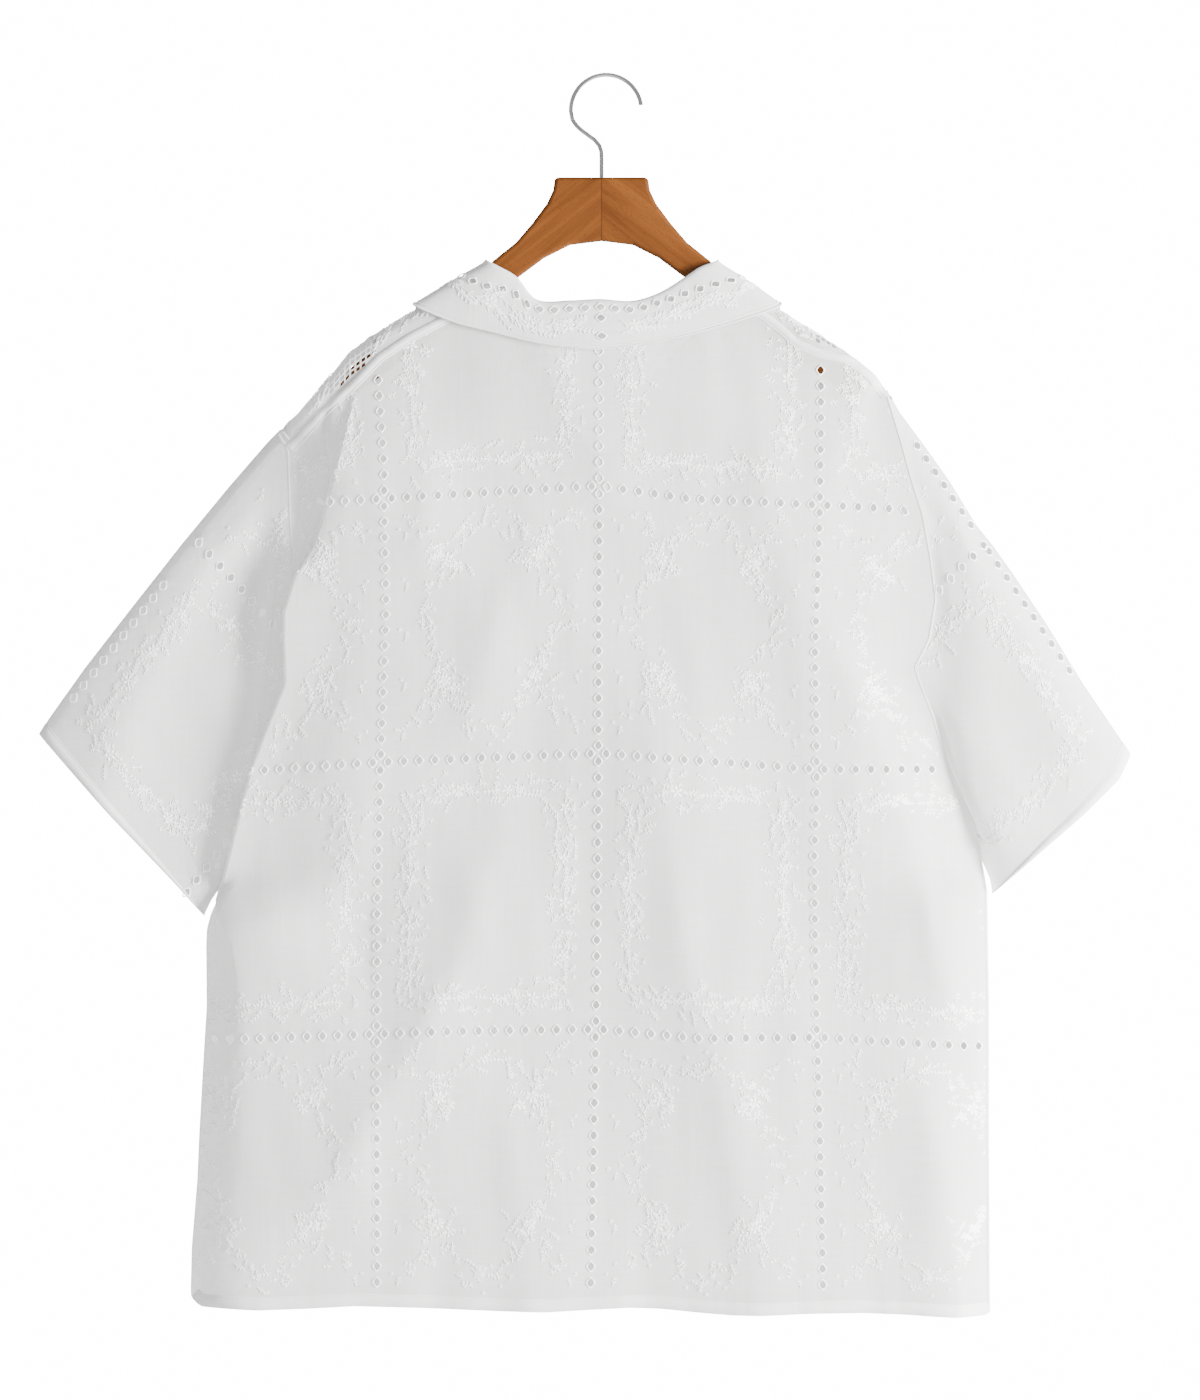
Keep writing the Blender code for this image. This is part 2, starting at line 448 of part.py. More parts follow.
# ---------------------------------------------------------------- sleeves
def sleeve(name, sign, bedge, fedge, top, cuff, under, zt, zu, half_cuff, col_b, col_f):
    ub = min(range(len(bedge)), key=lambda j: abs(bedge[j][2] - zu))
    uf = min(range(len(fedge)), key=lambda j: abs(fedge[j][2] - zu))
    ring = [(under[0][0], 0.0, under[0][1], 1.0, 0.0)]
    for p in fedge[uf + 1:]:
        ring.append((p[0], p[1], p[2], None, 1.0 if p[1] > 0.2 else (-1.0 if p[1] < -0.2 else 0.0)))
    for p in bedge[ub + 1:-1][::-1]:
        ring.append((p[0], p[1], p[2], None, -1.0))
    arm = []
    for i, p in enumerate(ring):
        s = p[3] if p[3] is not None else float(np.clip((zt - p[2]) / (zt - zu), 0, 1))
        arm.append([p[0], p[1], p[2], s, p[4]])
    # edge of the sleeve stands a seam gap off the edge of the body
    m = len(arm)
    out = []
    for i, p in enumerate(arm):
        a, b = np.array(arm[i - 1][:3]), np.array(arm[(i + 1) % m][:3])
        t = b - a
        if abs(p[2] - zt) < 12.0:
            nrm = np.array([sign * 0.75, 0.0, -0.66]) if p[1] > -2.0 else np.array([sign * 1.15, 0.0, -0.1])
        else:
            nrm = np.array([t[2], 0.0, -t[0]])
            nrm /= np.linalg.norm(nrm)
            if nrm[0] * sign < 0:
                nrm = -nrm
        out.append(np.array(p[:3]) + nrm * (2.0 if abs(p[2] - zt) < 40.0 else 1.4))
    ts = [0.0, 0.05, 0.14, 0.25, 0.37, 0.5, 0.63, 0.77, 0.9, 1.0]
    T0, T1 = np.array(top[0]), np.array(top[-1])
    B0, B1 = np.array(under[0]), np.array(under[-1])
    pts = []
    for t in ts:
        Tt, Bt = along(top, t), along(under, t)
        for i, p in enumerate(arm):
            s = p[3]
            A = np.array([out[i][0], out[i][2]])
            C = along(cuff, s)
            xy = (1 - t) * A + t * C + (1 - s) * (Tt - ((1 - t) * T0 + t * T1)) + s * (Bt - ((1 - t) * B0 + t * B1))
            b = float(smooth(t / 0.3))
            h = ARM_HALF + (half_cuff - ARM_HALF) * t
            y = p[4] * h * math.sqrt(max(0.0, 1 - (2 * s - 1) ** 2))
            pts.append((xy[0], (1 - b) * p[1] + b * y, xy[1]))
    ob = add(name, grid_mesh(name, pts, quads(len(ts), m, wrap=True)), "fabric")
    shell(ob)
    return np.array(pts).reshape(len(ts), m, 3)


sleeve("sleeve_left", -1.0, [BACK[j, 0] for j in range(BACK.shape[0])], [FL[j, 0] for j in range(FL.shape[0])],
       SLEEVE_LEFT_TOP, SLEEVE_LEFT_CUFF, SLEEVE_LEFT_UNDER, ARM_TOP_LEFT_Z, UNDERARM_LEFT_Z, 15.0, 0, 0)
sleeve("sleeve_right", 1.0, [BACK[j, -1] for j in range(BACK.shape[0])], [FR[j, 0] for j in range(FR.shape[0])],
       SLEEVE_RIGHT_TOP, SLEEVE_RIGHT_CUFF, SLEEVE_RIGHT_UNDER, ARM_TOP_RIGHT_Z, UNDERARM_RIGHT_Z, 22.0, 0, 0)


# ---------------------------------------------------------------- collar
def collar_line(row, fine=False):
    side, nx, nz, rx, rz, ex, ez = row
    sx = -1.0 if nx < 0 else 1.0
    k = abs(side)
    o = np.array([sx * math.sqrt(max(0.0, 1 - side * side)), side, 0.0])
    up = np.array([0.0, 0.0, 1.0])

    def at(x, z, lift):
        h = max(float(half_depth(np.float64(x), np.float64(z))), 8.6) + lift
        return np.array([x, h * (side if k in (0.0, 1.0) else math.copysign(0.74, side)), z])
    N, R, E = at(nx, nz, 0.2), at(rx, rz, 1.0), at(ex, ez, 4.6)
    N = N + (R - N) / np.linalg.norm(R - N) * (2.2 if side > -1 else 1.0)
    Ri = R - o * 1.5 - up * 3.5
    Ro = R + o * 2.6 - up * 3.2
    A = N + 0.5 * (Ri - N) - o * 0.5 - up * (1 - k)
    return [N, A, Ri, R + o * 0.4, Ro, Ro + (E - Ro) * 0.33 + o * 0.9, Ro + (E - Ro) * 0.68 + o * 0.7, E]


lines = [collar_line(r) for r in COLLAR]
pts = [p for ln in lines for p in ln]
collar = add("collar", grid_mesh("collar", pts, quads(len(lines), 8)), "fabric")
shell(collar)


# ---------------------------------------------------------------- buttons
for i, z in enumerate(BUTTON_Z):
    p = front_point(np.float64(CENTRE_X), np.float64(z), 1.0)
    bm = bmesh.new()
    bmesh.ops.create_cone(bm, cap_ends=True, segments=24, radius1=BUTTON_R * MM, radius2=BUTTON_R * MM, depth=BUTTON_T * MM)
    bmesh.ops.rotate(bm, verts=bm.verts, matrix=Matrix.Rotation(math.pi / 2, 3, "X"))
    bmesh.ops.translate(bm, verts=bm.verts, vec=(CENTRE_X * MM, (float(p[1]) + WALL / 2 + 0.9 + BUTTON_T / 2) * MM, z * MM))
    me = bpy.data.meshes.new("button_%d" % (i + 1))
    bm.to_mesh(me)
    bm.free()
    ob = add("button_%d" % (i + 1), me, "matte_plastic")
    bv = ob.modifiers.new("edge", "BEVEL")
    bv.width = 0.5 * MM
    bv.segments = 2
    bv.limit_method = "ANGLE"

# ---------------------------------------------------------------- hanger
half = list(HANGER)
other = [(2 * CENTRE_X - x, z) for x, z in half[1:-1]][::-1]
outline = half + other
bm = bmesh.new()
vs = [bm.verts.new((x * MM, -HANGER_HALF * MM, z * MM)) for x, z in outline]
face = bm.faces.new(vs)
ext = bmesh.ops.extrude_face_region(bm, geom=[face])
moved = [e for e in ext["geom"] if isinstance(e, bmesh.types.BMVert)]
bmesh.ops.translate(bm, verts=moved, vec=(0, 2 * HANGER_HALF * MM, 0))
bmesh.ops.recalc_face_normals(bm, faces=bm.faces)
me = bpy.data.meshes.new("hanger_body")
bm.to_mesh(me)
bm.free()
hanger = add("hanger_body", me, "wood")
bv = hanger.modifiers.new("edge", "BEVEL")
bv.width = HANGER_BEVEL * MM
bv.segments = 3
bv.limit_method = "ANGLE"
bv.angle_limit = math.radians(50)

# hook: one wire, from its tip round the top and down into the hanger
cz = -(HOOK_R - HOOK_WIRE)
path = [(1.5 + HOOK_R * math.cos(math.radians(a)), cz + HOOK_R * math.sin(math.radians(a))) for a in range(8, 186, 6)]
path += [(-23.4, -31.6), (-20.6, -35.8), (-16.8, -39.4), (-11.6, -43.2), (-7.0, -46.6), (-3.6, -50.6), (-2.1, -55.0),
         (-1.9, -60.0), (-1.9, -74.1)]
cu = bpy.data.curves.new("hanger_hook", "CURVE")
cu.dimensions = "3D"
cu.bevel_depth = HOOK_WIRE * MM
cu.bevel_resolution = 3
cu.use_fill_caps = True
sp = cu.splines.new("POLY")
sp.points.add(len(path) - 1)
for q, (x, z) in zip(sp.points, path):
    q.co = (x * MM, 0.0, z * MM, 1.0)
hook = bpy.data.objects.new("hanger_hook", cu)
bag.objects.link(hook)
color, rough, metal = MATS["chrome"]
cu.materials.append(material("chrome_hook", color, rough, metal))
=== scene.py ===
"""Looks of the eyelet shirt on its hanger: cloth, embroidery, wood and chrome.

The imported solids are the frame. Each cloth solid is replaced by a thin sheet on
the same form, cut from a flat outline with its real eyelet holes, and the
embroidery is raised thread on that sheet. Tables are in millimetres.
"""

import math

import bmesh
import bpy
import numpy as np
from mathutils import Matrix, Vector
from mathutils.geometry import delaunay_2d_cdt


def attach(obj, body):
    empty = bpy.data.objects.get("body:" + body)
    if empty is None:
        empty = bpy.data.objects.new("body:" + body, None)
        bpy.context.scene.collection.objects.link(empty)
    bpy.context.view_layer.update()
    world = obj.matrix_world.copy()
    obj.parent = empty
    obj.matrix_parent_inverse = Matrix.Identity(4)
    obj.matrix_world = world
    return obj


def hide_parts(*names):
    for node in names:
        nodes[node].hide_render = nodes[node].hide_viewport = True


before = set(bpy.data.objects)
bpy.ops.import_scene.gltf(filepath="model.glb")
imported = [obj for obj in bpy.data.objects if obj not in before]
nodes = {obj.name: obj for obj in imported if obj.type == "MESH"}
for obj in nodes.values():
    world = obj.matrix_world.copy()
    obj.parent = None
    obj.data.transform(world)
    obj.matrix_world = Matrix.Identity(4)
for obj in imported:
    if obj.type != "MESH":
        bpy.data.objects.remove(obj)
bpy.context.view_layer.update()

MM = 0.001
WALL = 1.2            # cloth wall, kept above 1 mm so that it prints
SEAM_GAP = 0.5        # between the edges of two pieces at a seam
CENTRE_X = -1.9       # front opening and hanger middle

# top line of the shoulders: x, z, half depth of the roll over the hanger, its height
SHOULDER = (
    (-262.0, -290.0, 3.0, 4.0), (-241.0, -262.0, 3.0, 4.0), (-223.5, -244.7, 6.0, 8.0),
    (-211.0, -230.7, 8.0, 10.0), (-200.5, -217.3, 8.5, 10.5), (-188.7, -203.3, 8.5, 10.5),
    (-173.2, -192.2, 8.5, 10.5), (-149.5, -177.5, 8.5, 10.5), (-140.6, -172.5, 8.5, 10.5),
    (-116.0, -157.0, 8.5, 10.5), (-102.0, -148.5, 8.5, 10.5), (-88.0, -140.0, 8.5, 10.5),
    (-60.0, -122.0, 8.5, 10.5), (0.0, -100.0, 8.5, 10.5), (60.0, -122.0, 8.5, 10.5),
    (84.0, -141.0, 8.5, 10.5), (97.0, -149.0, 8.5, 10.5), (107.0, -156.0, 8.5, 10.5),
    (130.0, -172.3, 8.5, 10.5), (154.7, -187.5, 8.5, 10.5), (178.3, -202.5, 8.5, 10.5),
    (190.0, -211.5, 8.3, 10.0), (198.3, -218.8, 7.0, 8.5), (204.0, -225.5, 5.2, 6.6), (208.7, -231.0, 3.6, 5.0),
    (230.0, -262.0, 3.0, 4.0))
# half depth of the body at its middle: z, depth
DEPTH = ((-920.0, 31.0), (-620.0, 28.0), (-450.0, 25.0), (-300.0, 19.0), (-200.0, 13.5), (-130.0, 9.5))
# hem: x, z
HEM = ((-312.0, -899.0), (-305.6, -901.8), (-298.2, -908.0), (-254.6, -909.8), (-218.3, -908.5),
       (-183.5, -906.6), (-135.4, -907.8), (-77.0, -910.0), (-42.9, -910.7), (-8.9, -908.9),
       (18.5, -907.5), (42.2, -908.3), (67.3, -910.7), (93.2, -912.6), (115.4, -912.9),
       (150.2, -911.5), (188.7, -911.1), (223.5, -912.4), (255.3, -914.6), (281.2, -914.8),
       (290.0, -912.0))
# left edge of the back (side seam, then armhole seam): z, x
BACK_LEFT = ((-915.0, -304.5), (-897.4, -305.2), (-866.3, -304.5), (-816.0, -300.4), (-783.4, -299.0),
             (-717.6, -295.3), (-688.0, -293.4), (-641.4, -293.8), (-630.0, -293.2), (-620.0, -290.5), (-611.0, -286.5),
             (-597.0, -279.7), (-579.9, -269.4), (-549.6, -262.0), (-512.6, -251.6), (-480.8, -239.0),
             (-449.0, -228.5), (-416.4, -227.6), (-364.6, -229.4), (-320.2, -231.6), (-275.8, -233.1),
             (-268.4, -237.0), (-250.0, -262.0), (-230.0, -300.0), (-150.0, -420.0))
# right edge of the back: z, x
BACK_RIGHT = ((-915.0, 284.9), (-775.3, 284.2), (-682.8, 284.2), (-639.1, 283.4), (-603.6, 283.0),
              (-583.6, 279.7), (-554.0, 274.5), (-533.3, 264.9), (-505.2, 252.3), (-471.9, 242.7),
              (-449.7, 233.8), (-437.0, 229.5), (-416.4, 240.0), (-386.8, 244.9), (-357.2, 241.2),
              (-323.9, 235.3), (-298.0, 227.2), (-270.6, 219.8), (-233.6, 208.7), (-215.0, 240.0),
              (-190.0, 300.0), (-140.0, 400.0))
# armhole edge of the fronts, side seam below: z, x
FRONT_LEFT = ((-915.0, -304.5), (-897.4, -305.2), (-866.3, -304.5), (-816.0, -300.4), (-783.4, -299.0),
              (-717.6, -295.3), (-688.0, -293.4), (-641.4, -293.8), (-630.0, -293.2), (-620.0, -290.5), (-611.0, -286.5),
              (-597.0, -279.7), (-583.0, -275.5), (-550.0, -268.0), (-505.0, -260.0), (-461.0, -252.5),
              (-402.0, -246.0), (-357.0, -242.0), (-320.0, -239.5), (-276.0, -239.5), (-262.0, -241.0),
              (-240.0, -252.0), (-223.0, -260.0), (-190.0, -267.0), (-160.0, -264.0), (-140.0, -262.0))
FRONT_RIGHT = ((-915.0, 284.9), (-775.3, 284.2), (-682.8, 284.2), (-639.1, 283.4), (-603.6, 283.0),
               (-583.6, 279.7), (-565.0, 274.5), (-535.0, 266.5), (-495.0, 257.0), (-450.0, 250.5),
               (-400.0, 246.0), (-357.0, 241.5), (-320.0, 235.5), (-290.0, 228.5), (-262.0, 220.5),
               (-231.0, 208.7), (-215.0, 219.0), (-200.0, 229.0), (-180.0, 237.0), (-160.0, 241.0),
               (-140.0, 243.0))
# upper edge of the back: shoulder seams and neck: x, z
BACK_TOP = ((-262.0, -300.0), (-232.4, -273.0), (-208.7, -248.5), (-186.5, -228.5), (-165.8, -207.0),
            (-143.6, -192.2), (-120.6, -180.4), (-99.2, -168.0), (-79.0, -175.8), (-54.0, -184.4),
            (-28.0, -187.9), (-3.0, -188.6), (22.0, -187.6), (48.0, -182.8), (74.0, -174.0),
            (98.4, -165.8), (118.4, -176.0), (133.2, -187.8), (142.1, -196.5), (160.6, -204.0),
            (182.0, -208.3), (198.3, -221.5), (208.7, -235.5), (230.0, -262.0))
# inner edge of the fronts: z, x (front edge, roll line of the lapel, neck seam)
INNER_LEFT = ((-915.0, 10.5), (-318.0, 10.5), (-215.0, -44.6), (-210.5, -51.3), (-180.0, -84.4),
              (-160.0, -98.4), (-148.5, -103.6), (-120.0, -109.6))
INNER_RIGHT = ((-915.0, -14.5), (-318.0, -14.5), (-215.0, 41.2), (-210.5, 47.9), (-180.0, 80.4),
               (-160.0, 93.4), (-149.0, 98.6), (-120.0, 104.6))
# the deep fold of the back over the left sleeve: z, x of its edge, cloth taken in, lift
FOLD = ((-915.0, -281.0, 0.0, 0.0), (-740.0, -272.0, 0.0, 0.0), (-665.0, -271.0, 0.0, 4.5),
        (-642.0, -275.0, 2.0, 7.0), (-622.0, -284.0, 14.0, 8.5),
        (-608.0, -286.0, 24.0, 8.5), (-590.0, -280.0, 31.0, 9.0),
        (-550.0, -270.0, 36.0, 9.0), (-513.0, -260.5, 36.0, 9.0), (-481.0, -248.0, 36.0, 9.0),
        (-449.0, -235.0, 36.0, 9.0), (-416.0, -236.0, 36.0, 9.0), (-397.0, -236.0, 36.0, 9.0),
        (-368.0, -227.0, 36.0, 9.0), (-346.0, -213.8, 36.0, 9.0), (-331.0, -208.7, 36.0, 9.0),
        (-300.0, -200.5, 20.0, 9.5), (-272.0, -192.5, 6.0, 9.0), (-255.0, -188.5, 0.0, 6.0), (-235.0, -183.0, 0.0, 2.0),
        (-215.0, -178.0, 0.0, 0.0), (-140.0, -170.0, 0.0, 0.0))
FOLD_LEN = 18.0
# creases of the back: depth into the cloth (ridges below zero), reach to the left
# and to the right, then the line as z, x
CREASES_BACK = (
    (-10.0, 58.0, 120.0, ((-915.0, 116.0), (-853.0, 110.0), (-752.0, 88.0), (-671.0, 68.0), (-550.0, 46.0), (-480.0, 36.0), (-400.0, 26.0))),
    (-7.5, 44.0, 74.0, ((-870.0, -226.0), (-782.0, -179.0), (-711.0, -138.0), (-651.0, -103.0), (-600.0, -91.0), (-520.0, -66.0))),
    (-5.0, 34.0, 60.0, ((-520.0, -112.0), (-448.0, -91.0), (-388.0, -75.0), (-300.0, -44.0))),
    (-9.0, 56.0, 34.0, ((-720.0, 262.0), (-651.0, 246.0), (-570.0, 226.0), (-489.0, 200.0), (-438.0, 178.0), (-365.0, 140.0))),
    (-6.5, 52.0, 30.0, ((-915.0, 262.0), (-823.0, 250.0), (-752.0, 232.0), (-680.0, 204.0))),
    (-5.5, 40.0, 60.0, ((-915.0, -50.0), (-853.0, -54.0), (-782.0, -68.0), (-700.0, -93.0))),
    (-4.0, 34.0, 44.0, ((-340.0, 4.0), (-270.0, -6.0), (-195.0, -20.0))),
    (-4.0, 34.0, 40.0, ((-440.0, 152.0), (-327.0, 126.0), (-225.0, 104.0))),
    (-3.5, 30.0, 44.0, ((-400.0, -150.0), (-310.0, -128.0), (-225.0, -112.0))),
    (3.0, 34.0, 34.0, ((-690.0, -190.0), (-600.0, -168.0), (-500.0, -160.0))),
    (-4.0, 34.0, 44.0, ((-560.0, -214.0), (-402.0, -182.0))),
)
CREASES_FRONT = (
    (7.0, 30.0, 16.0, ((-915.0, -150.0), (-760.0, -132.0), (-600.0, -112.0), (-520.0, -100.0))),
    (6.0, 20.0, 32.0, ((-915.0, 178.0), (-740.0, 160.0), (-590.0, 128.0))),
    (5.0, 28.0, 20.0, ((-915.0, -236.0), (-770.0, -216.0), (-660.0, -196.0))),
    (5.0, 20.0, 26.0, ((-520.0, 208.0), (-420.0, 182.0), (-330.0, 160.0))),
    (4.0, 22.0, 22.0, ((-500.0, -190.0), (-400.0, -176.0), (-320.0, -166.0))),
    (-4.0, 34.0, 34.0, ((-915.0, -70.0), (-700.0, -62.0), (-520.0, -58.0))),
    (-4.0, 34.0, 34.0, ((-915.0, 92.0), (-700.0, 84.0), (-520.0, 78.0))),
)
# sleeves: top line and cuff line as x, z; half depth at armhole and cuff
SLEEVE_LEFT_TOP = ((-241.5, -262.5), (-249.4, -270.6), (-278.2, -303.9), (-313.0, -346.1), (-348.5, -391.2),
                   (-384.1, -437.1), (-402.6, -463.0), (-411.4, -475.6), (-418.0, -486.4))
SLEEVE_LEFT_CUFF = ((-418.0, -486.4), (-363.3, -548.1), (-313.0, -601.4), (-296.0, -620.5))
SLEEVE_LEFT_UNDER = ((-281.8, -596.5), (-290.5, -609.0), (-296.0, -620.5))
SLEEVE_RIGHT_TOP = ((209.5, -231.5), (219.0, -248.4), (236.1, -271.4), (256.0, -299.5), (275.3, -331.3),
                    (288.0, -347.0), (302.7, -367.6), (327.8, -405.3), (354.5, -449.0), (381.1, -488.2),
                    (389.5, -501.5))
SLEEVE_RIGHT_CUFF = ((389.5, -501.5), (379.6, -520.0), (352.2, -546.6), (323.4, -571.8), (287.4, -604.0))
SLEEVE_RIGHT_UNDER = ((282.0, -583.0), (285.6, -594.0), (287.4, -604.0))
UNDERARM_LEFT_Z, UNDERARM_RIGHT_Z = -597.0, -583.6
ARM_TOP_LEFT_Z, ARM_TOP_RIGHT_Z = -262.0, -231.0
ARM_HALF = 12.0
# collar stations, left front end round the back to the right front end:
# side (1 front, 0 top of shoulder, -1 back), then x, z of neck seam, roll, outer edge
COLLAR = (
    (1.0, -50.0, -210.0, -43.0, -203.0, -112.0, -240.0),
    (1.0, -68.0, -195.0, -58.5, -186.0, -121.0, -226.0),
    (1.0, -85.0, -177.0, -70.5, -166.0, -130.0, -207.0),
    (1.0, -97.0, -159.0, -81.0, -146.5, -137.0, -188.0),
    (0.7, -101.0, -150.6, -86.3, -136.4, -139.8, -170.6),
    (0.0, -101.6, -147.8, -87.5, -134.3, -140.4, -167.6),
    (-0.7, -100.8, -150.8, -86.0, -136.2, -139.0, -170.8),
    (-1.0, -98.6, -166.8, -79.0, -140.0, -110.3, -182.6),
    (-1.0, -79.0, -174.9, -64.4, -148.5, -84.4, -189.2),
    (-1.0, -54.0, -183.4, -49.6, -165.2, -51.1, -197.4),
    (-1.0, -28.0, -186.9, -25.0, -165.8, -24.0, -201.2),
    (-1.0, -3.0, -187.6, -3.0, -164.8, -1.5, -202.5),
    (-1.0, 22.0, -186.6, 20.0, -166.2, 27.4, -198.8),
    (-1.0, 48.0, -181.8, 40.0, -160.4, 57.7, -192.9),
    (-1.0, 74.0, -173.0, 58.5, -149.3, 88.1, -184.8),
    (-1.0, 97.6, -164.4, 71.0, -141.0, 107.3, -178.9),
    (-0.7, 96.0, -151.0, 82.6, -136.4, 129.6, -170.8),
    (0.0, 96.4, -148.2, 84.0, -134.5, 130.6, -167.4),
    (0.7, 95.6, -150.8, 82.6, -136.6, 130.4, -170.8),
    (1.0, 91.6, -159.0, 77.0, -146.5, 131.0, -188.0),
    (1.0, 80.6, -177.0, 66.5, -166.0, 125.0, -207.0),
    (1.0, 64.0, -195.0, 54.5, -186.0, 116.0, -226.0),
    (1.0, 46.4, -210.0, 39.4, -203.0, 107.0, -240.0),
)


# ---------------------------------------------------------------- functions
def table(rows, v, col=1):
    r = sorted(rows)
    return np.interp(v, [q[0] for q in r], [q[col] for q in r])


def smooth(t):
    t = np.clip(t, 0.0, 1.0)
    return t * t * (3.0 - 2.0 * t)


def along(pts, t):
    """Point at fraction t of the length of a line of points."""
    p = np.array(pts, float)
    d = np.r_[0.0, np.cumsum(np.hypot(*np.diff(p, axis=0).T))]
    t = np.asarray(t, float) * d[-1]
    return np.stack([np.interp(t, d, p[:, 0]), np.interp(t, d, p[:, 1])], -1)


def creases(which, x, z):
    out = np.zeros(np.broadcast(x, z).shape)
    for depth, left, right, line in which:
        z0, z1 = line[0][0], line[-1][0]
        fade = smooth((z - z0) / 60.0 + (1.0 if z0 < -900 else 0.0)) * smooth((z1 - z) / 110.0)
        d = x - table(line, z)
        reach = 0.62 * np.where(d < 0, left, right)
        out = out + depth * fade * np.exp(-(np.sqrt(d * d + 110.0) - 10.5) / reach)
    return out


def half_depth(x, z):
    top, ry, rz = table(SHOULDER, x, 1), table(SHOULDER, x, 2), table(SHOULDER, x, 3)
    d = top - z
    arc = ry * np.sqrt(np.clip(1 - (1 - np.clip(d / rz, 0, 1)) ** 2, 0, 1))
    return arc + np.maximum(table(DEPTH, z) - ry, 0) * smooth((d - rz) / 120.0)


def arm_half(z, top, under):
    s = np.clip((top - z) / (top - under), 0, 1)
    return ARM_HALF * np.sqrt(1 - (2 * s - 1) ** 2)


def body_depth(x, z, left, right):
    """Depth of one side of the body: full in the middle, down to the edges."""
    h = half_depth(x, z)
    xm = (x < 0)
    edge = np.where(xm, x - table(left, z), table(right, z) - x)
    ha = np.where(xm, arm_half(z, ARM_TOP_LEFT_Z, UNDERARM_LEFT_Z), arm_half(z, ARM_TOP_RIGHT_Z, UNDERARM_RIGHT_Z))
    ha = np.maximum(ha, 0.8)
    under = np.where(xm, UNDERARM_LEFT_Z, UNDERARM_RIGHT_Z)
    top = np.where(xm, ARM_TOP_LEFT_Z, ARM_TOP_RIGHT_Z)
    seam = smooth((z - under + 40.0) / 60.0)          # 0 at the side seam, 1 at the armhole
    e = np.clip(edge / 52.0, 0, 1)
    soft = smooth(edge / (24.0 + 66.0 * smooth((top - z) / 90.0)))
    side = (1 - seam) * np.sqrt(1 - (1 - e) ** 2) + seam * soft
    return ha + (h - ha) * side, np.maximum(e, 0)


def fold_x(a, z):
    x0, take = table(FOLD, z, 1), table(FOLD, z, 2)
    t = (x0 - a) / FOLD_LEN
    return a + take * smooth(t), t, x0


def back_point(a, z):
    """a is x in the cloth with the deep fold opened out."""
    x, t, x0 = fold_x(a, z)
    base, e = body_depth(x, z, BACK_LEFT, BACK_RIGHT)
    lift = table(FOLD, z, 3)
    tc = np.clip(t, 0, 1)
    turned = tc + 0.9 * np.sin(2 * math.pi * tc) / (2 * math.pi)
    over = lift * (1 - turned) * np.exp(-(np.maximum(x - x0, 0) / 62.0) ** 2)
    relief = creases(CREASES_BACK, x, z) * smooth(e * 2.0) * (t < 0.0)
    return np.stack([x, -(base + over - relief), z], -1)


def front_point(x, z, lap):
    base, e = body_depth(x, z, FRONT_LEFT, FRONT_RIGHT)
    relief = creases(CREASES_FRONT, x, z) * smooth(e * 2.0)
    near = 1 - smooth((np.abs(x - CENTRE_X) - 22.0) / 25.0)
    return np.stack([x, base - relief + lap * 1.25 * near, z], -1)

# ---------------------------------------------------------------- finer relief of the cloth
# short level wrinkles: x, z of the middle, reach in x and z, spacing, height
LEVEL = ((-88.0, -826.0, 30.0, 20.0, 8.0, 0.8), (-255.0, -808.0, 34.0, 26.0, 9.0, 0.8),
         (247.0, -815.0, 26.0, 55.0, 11.0, 0.9), (196.0, -742.0, 30.0, 18.0, 8.0, 0.6),
         (-150.0, -640.0, 26.0, 16.0, 8.5, 0.5), (40.0, -868.0, 36.0, 20.0, 8.0, 0.5),
         (120.0, -560.0, 20.0, 24.0, 9.0, 0.5), (-60.0, -240.0, 30.0, 14.0, 8.0, 0.35))
# long shallow waves: wavelength across, slant, wavelength along, height, phase
WAVES = ((14.0, 0.05, 420.0, 0.04, 0.3), (19.0, -0.03, 310.0, 0.06, 1.9), (27.0, 0.08, 360.0, 0.10, 4.1),
         (37.0, 0.12, 260.0, 0.18, 2.2), (53.0, -0.16, 380.0, 0.32, 5.0), (84.0, 0.22, 420.0, 0.7, 0.8))


def fine(x, z, seed=0.0):
    out = np.zeros(np.broadcast(x, z).shape)
    for w, slant, lw, h, ph in WAVES:
        u = x + slant * z
        m = 0.5 + 0.5 * np.sin(2 * math.pi * z / lw + ph * 2.3 + seed + 0.013 * x)
        out = out + h * m * np.sin(2 * math.pi * u / w + ph + seed + 0.8 * np.sin(2 * math.pi * z / (lw * 0.7) + ph))
    for cx, cz, rx, rz, sp, h in LEVEL:
        if seed:
            cx = -cx
        win = np.exp(-((x - cx) / rx) ** 2 - ((z - cz) / rz) ** 2)
        out = out + h * win * np.sin(2 * math.pi * (z + 0.12 * x) / sp)
    return out


# ---------------------------------------------------------------- where the pattern lies
PITCH_P = 160.0
ROWS_Q = (-304.0, -504.0, -706.0, -906.0)
LINE_LEFT = ((-897.4, -167.2), (-608.8, -167.2), (-512.6, -165.0), (-386.8, -160.6), (-312.8, -162.1),
             (-283.2, -162.1), (-249.9, -164.3), (-218.1, -166.9))
LINE_MID = ((-897.4, -10.4), (-756.8, -7.4), (-682.8, -5.9), (-520.0, -4.4), (-401.6, -4.4), (-312.8, -3.7), (-204.0, -3.7))
LINE_RIGHT = ((-897.4, 160.6), (-756.8, 157.6), (-682.8, 155.4), (-571.8, 153.9), (-512.6, 156.1),
              (-416.4, 154.7), (-312.8, 158.4), (-238.8, 159.8), (-207.7, 159.8))
LEVEL_1 = ((-199.1, -315.0), (-3.7, -303.2), (63.6, -312.8), (219.8, -320.2), (227.2, -324.6))
LEVEL_2 = ((-250.9, -512.6), (-165.0, -506.7), (-3.0, -500.0), (156.1, -511.9))
LEVEL_3 = ((-284.2, -710.9), (-114.0, -704.3), (-3.0, -702.8), (71.0, -709.4), (157.6, -708.7), (274.5, -716.1))
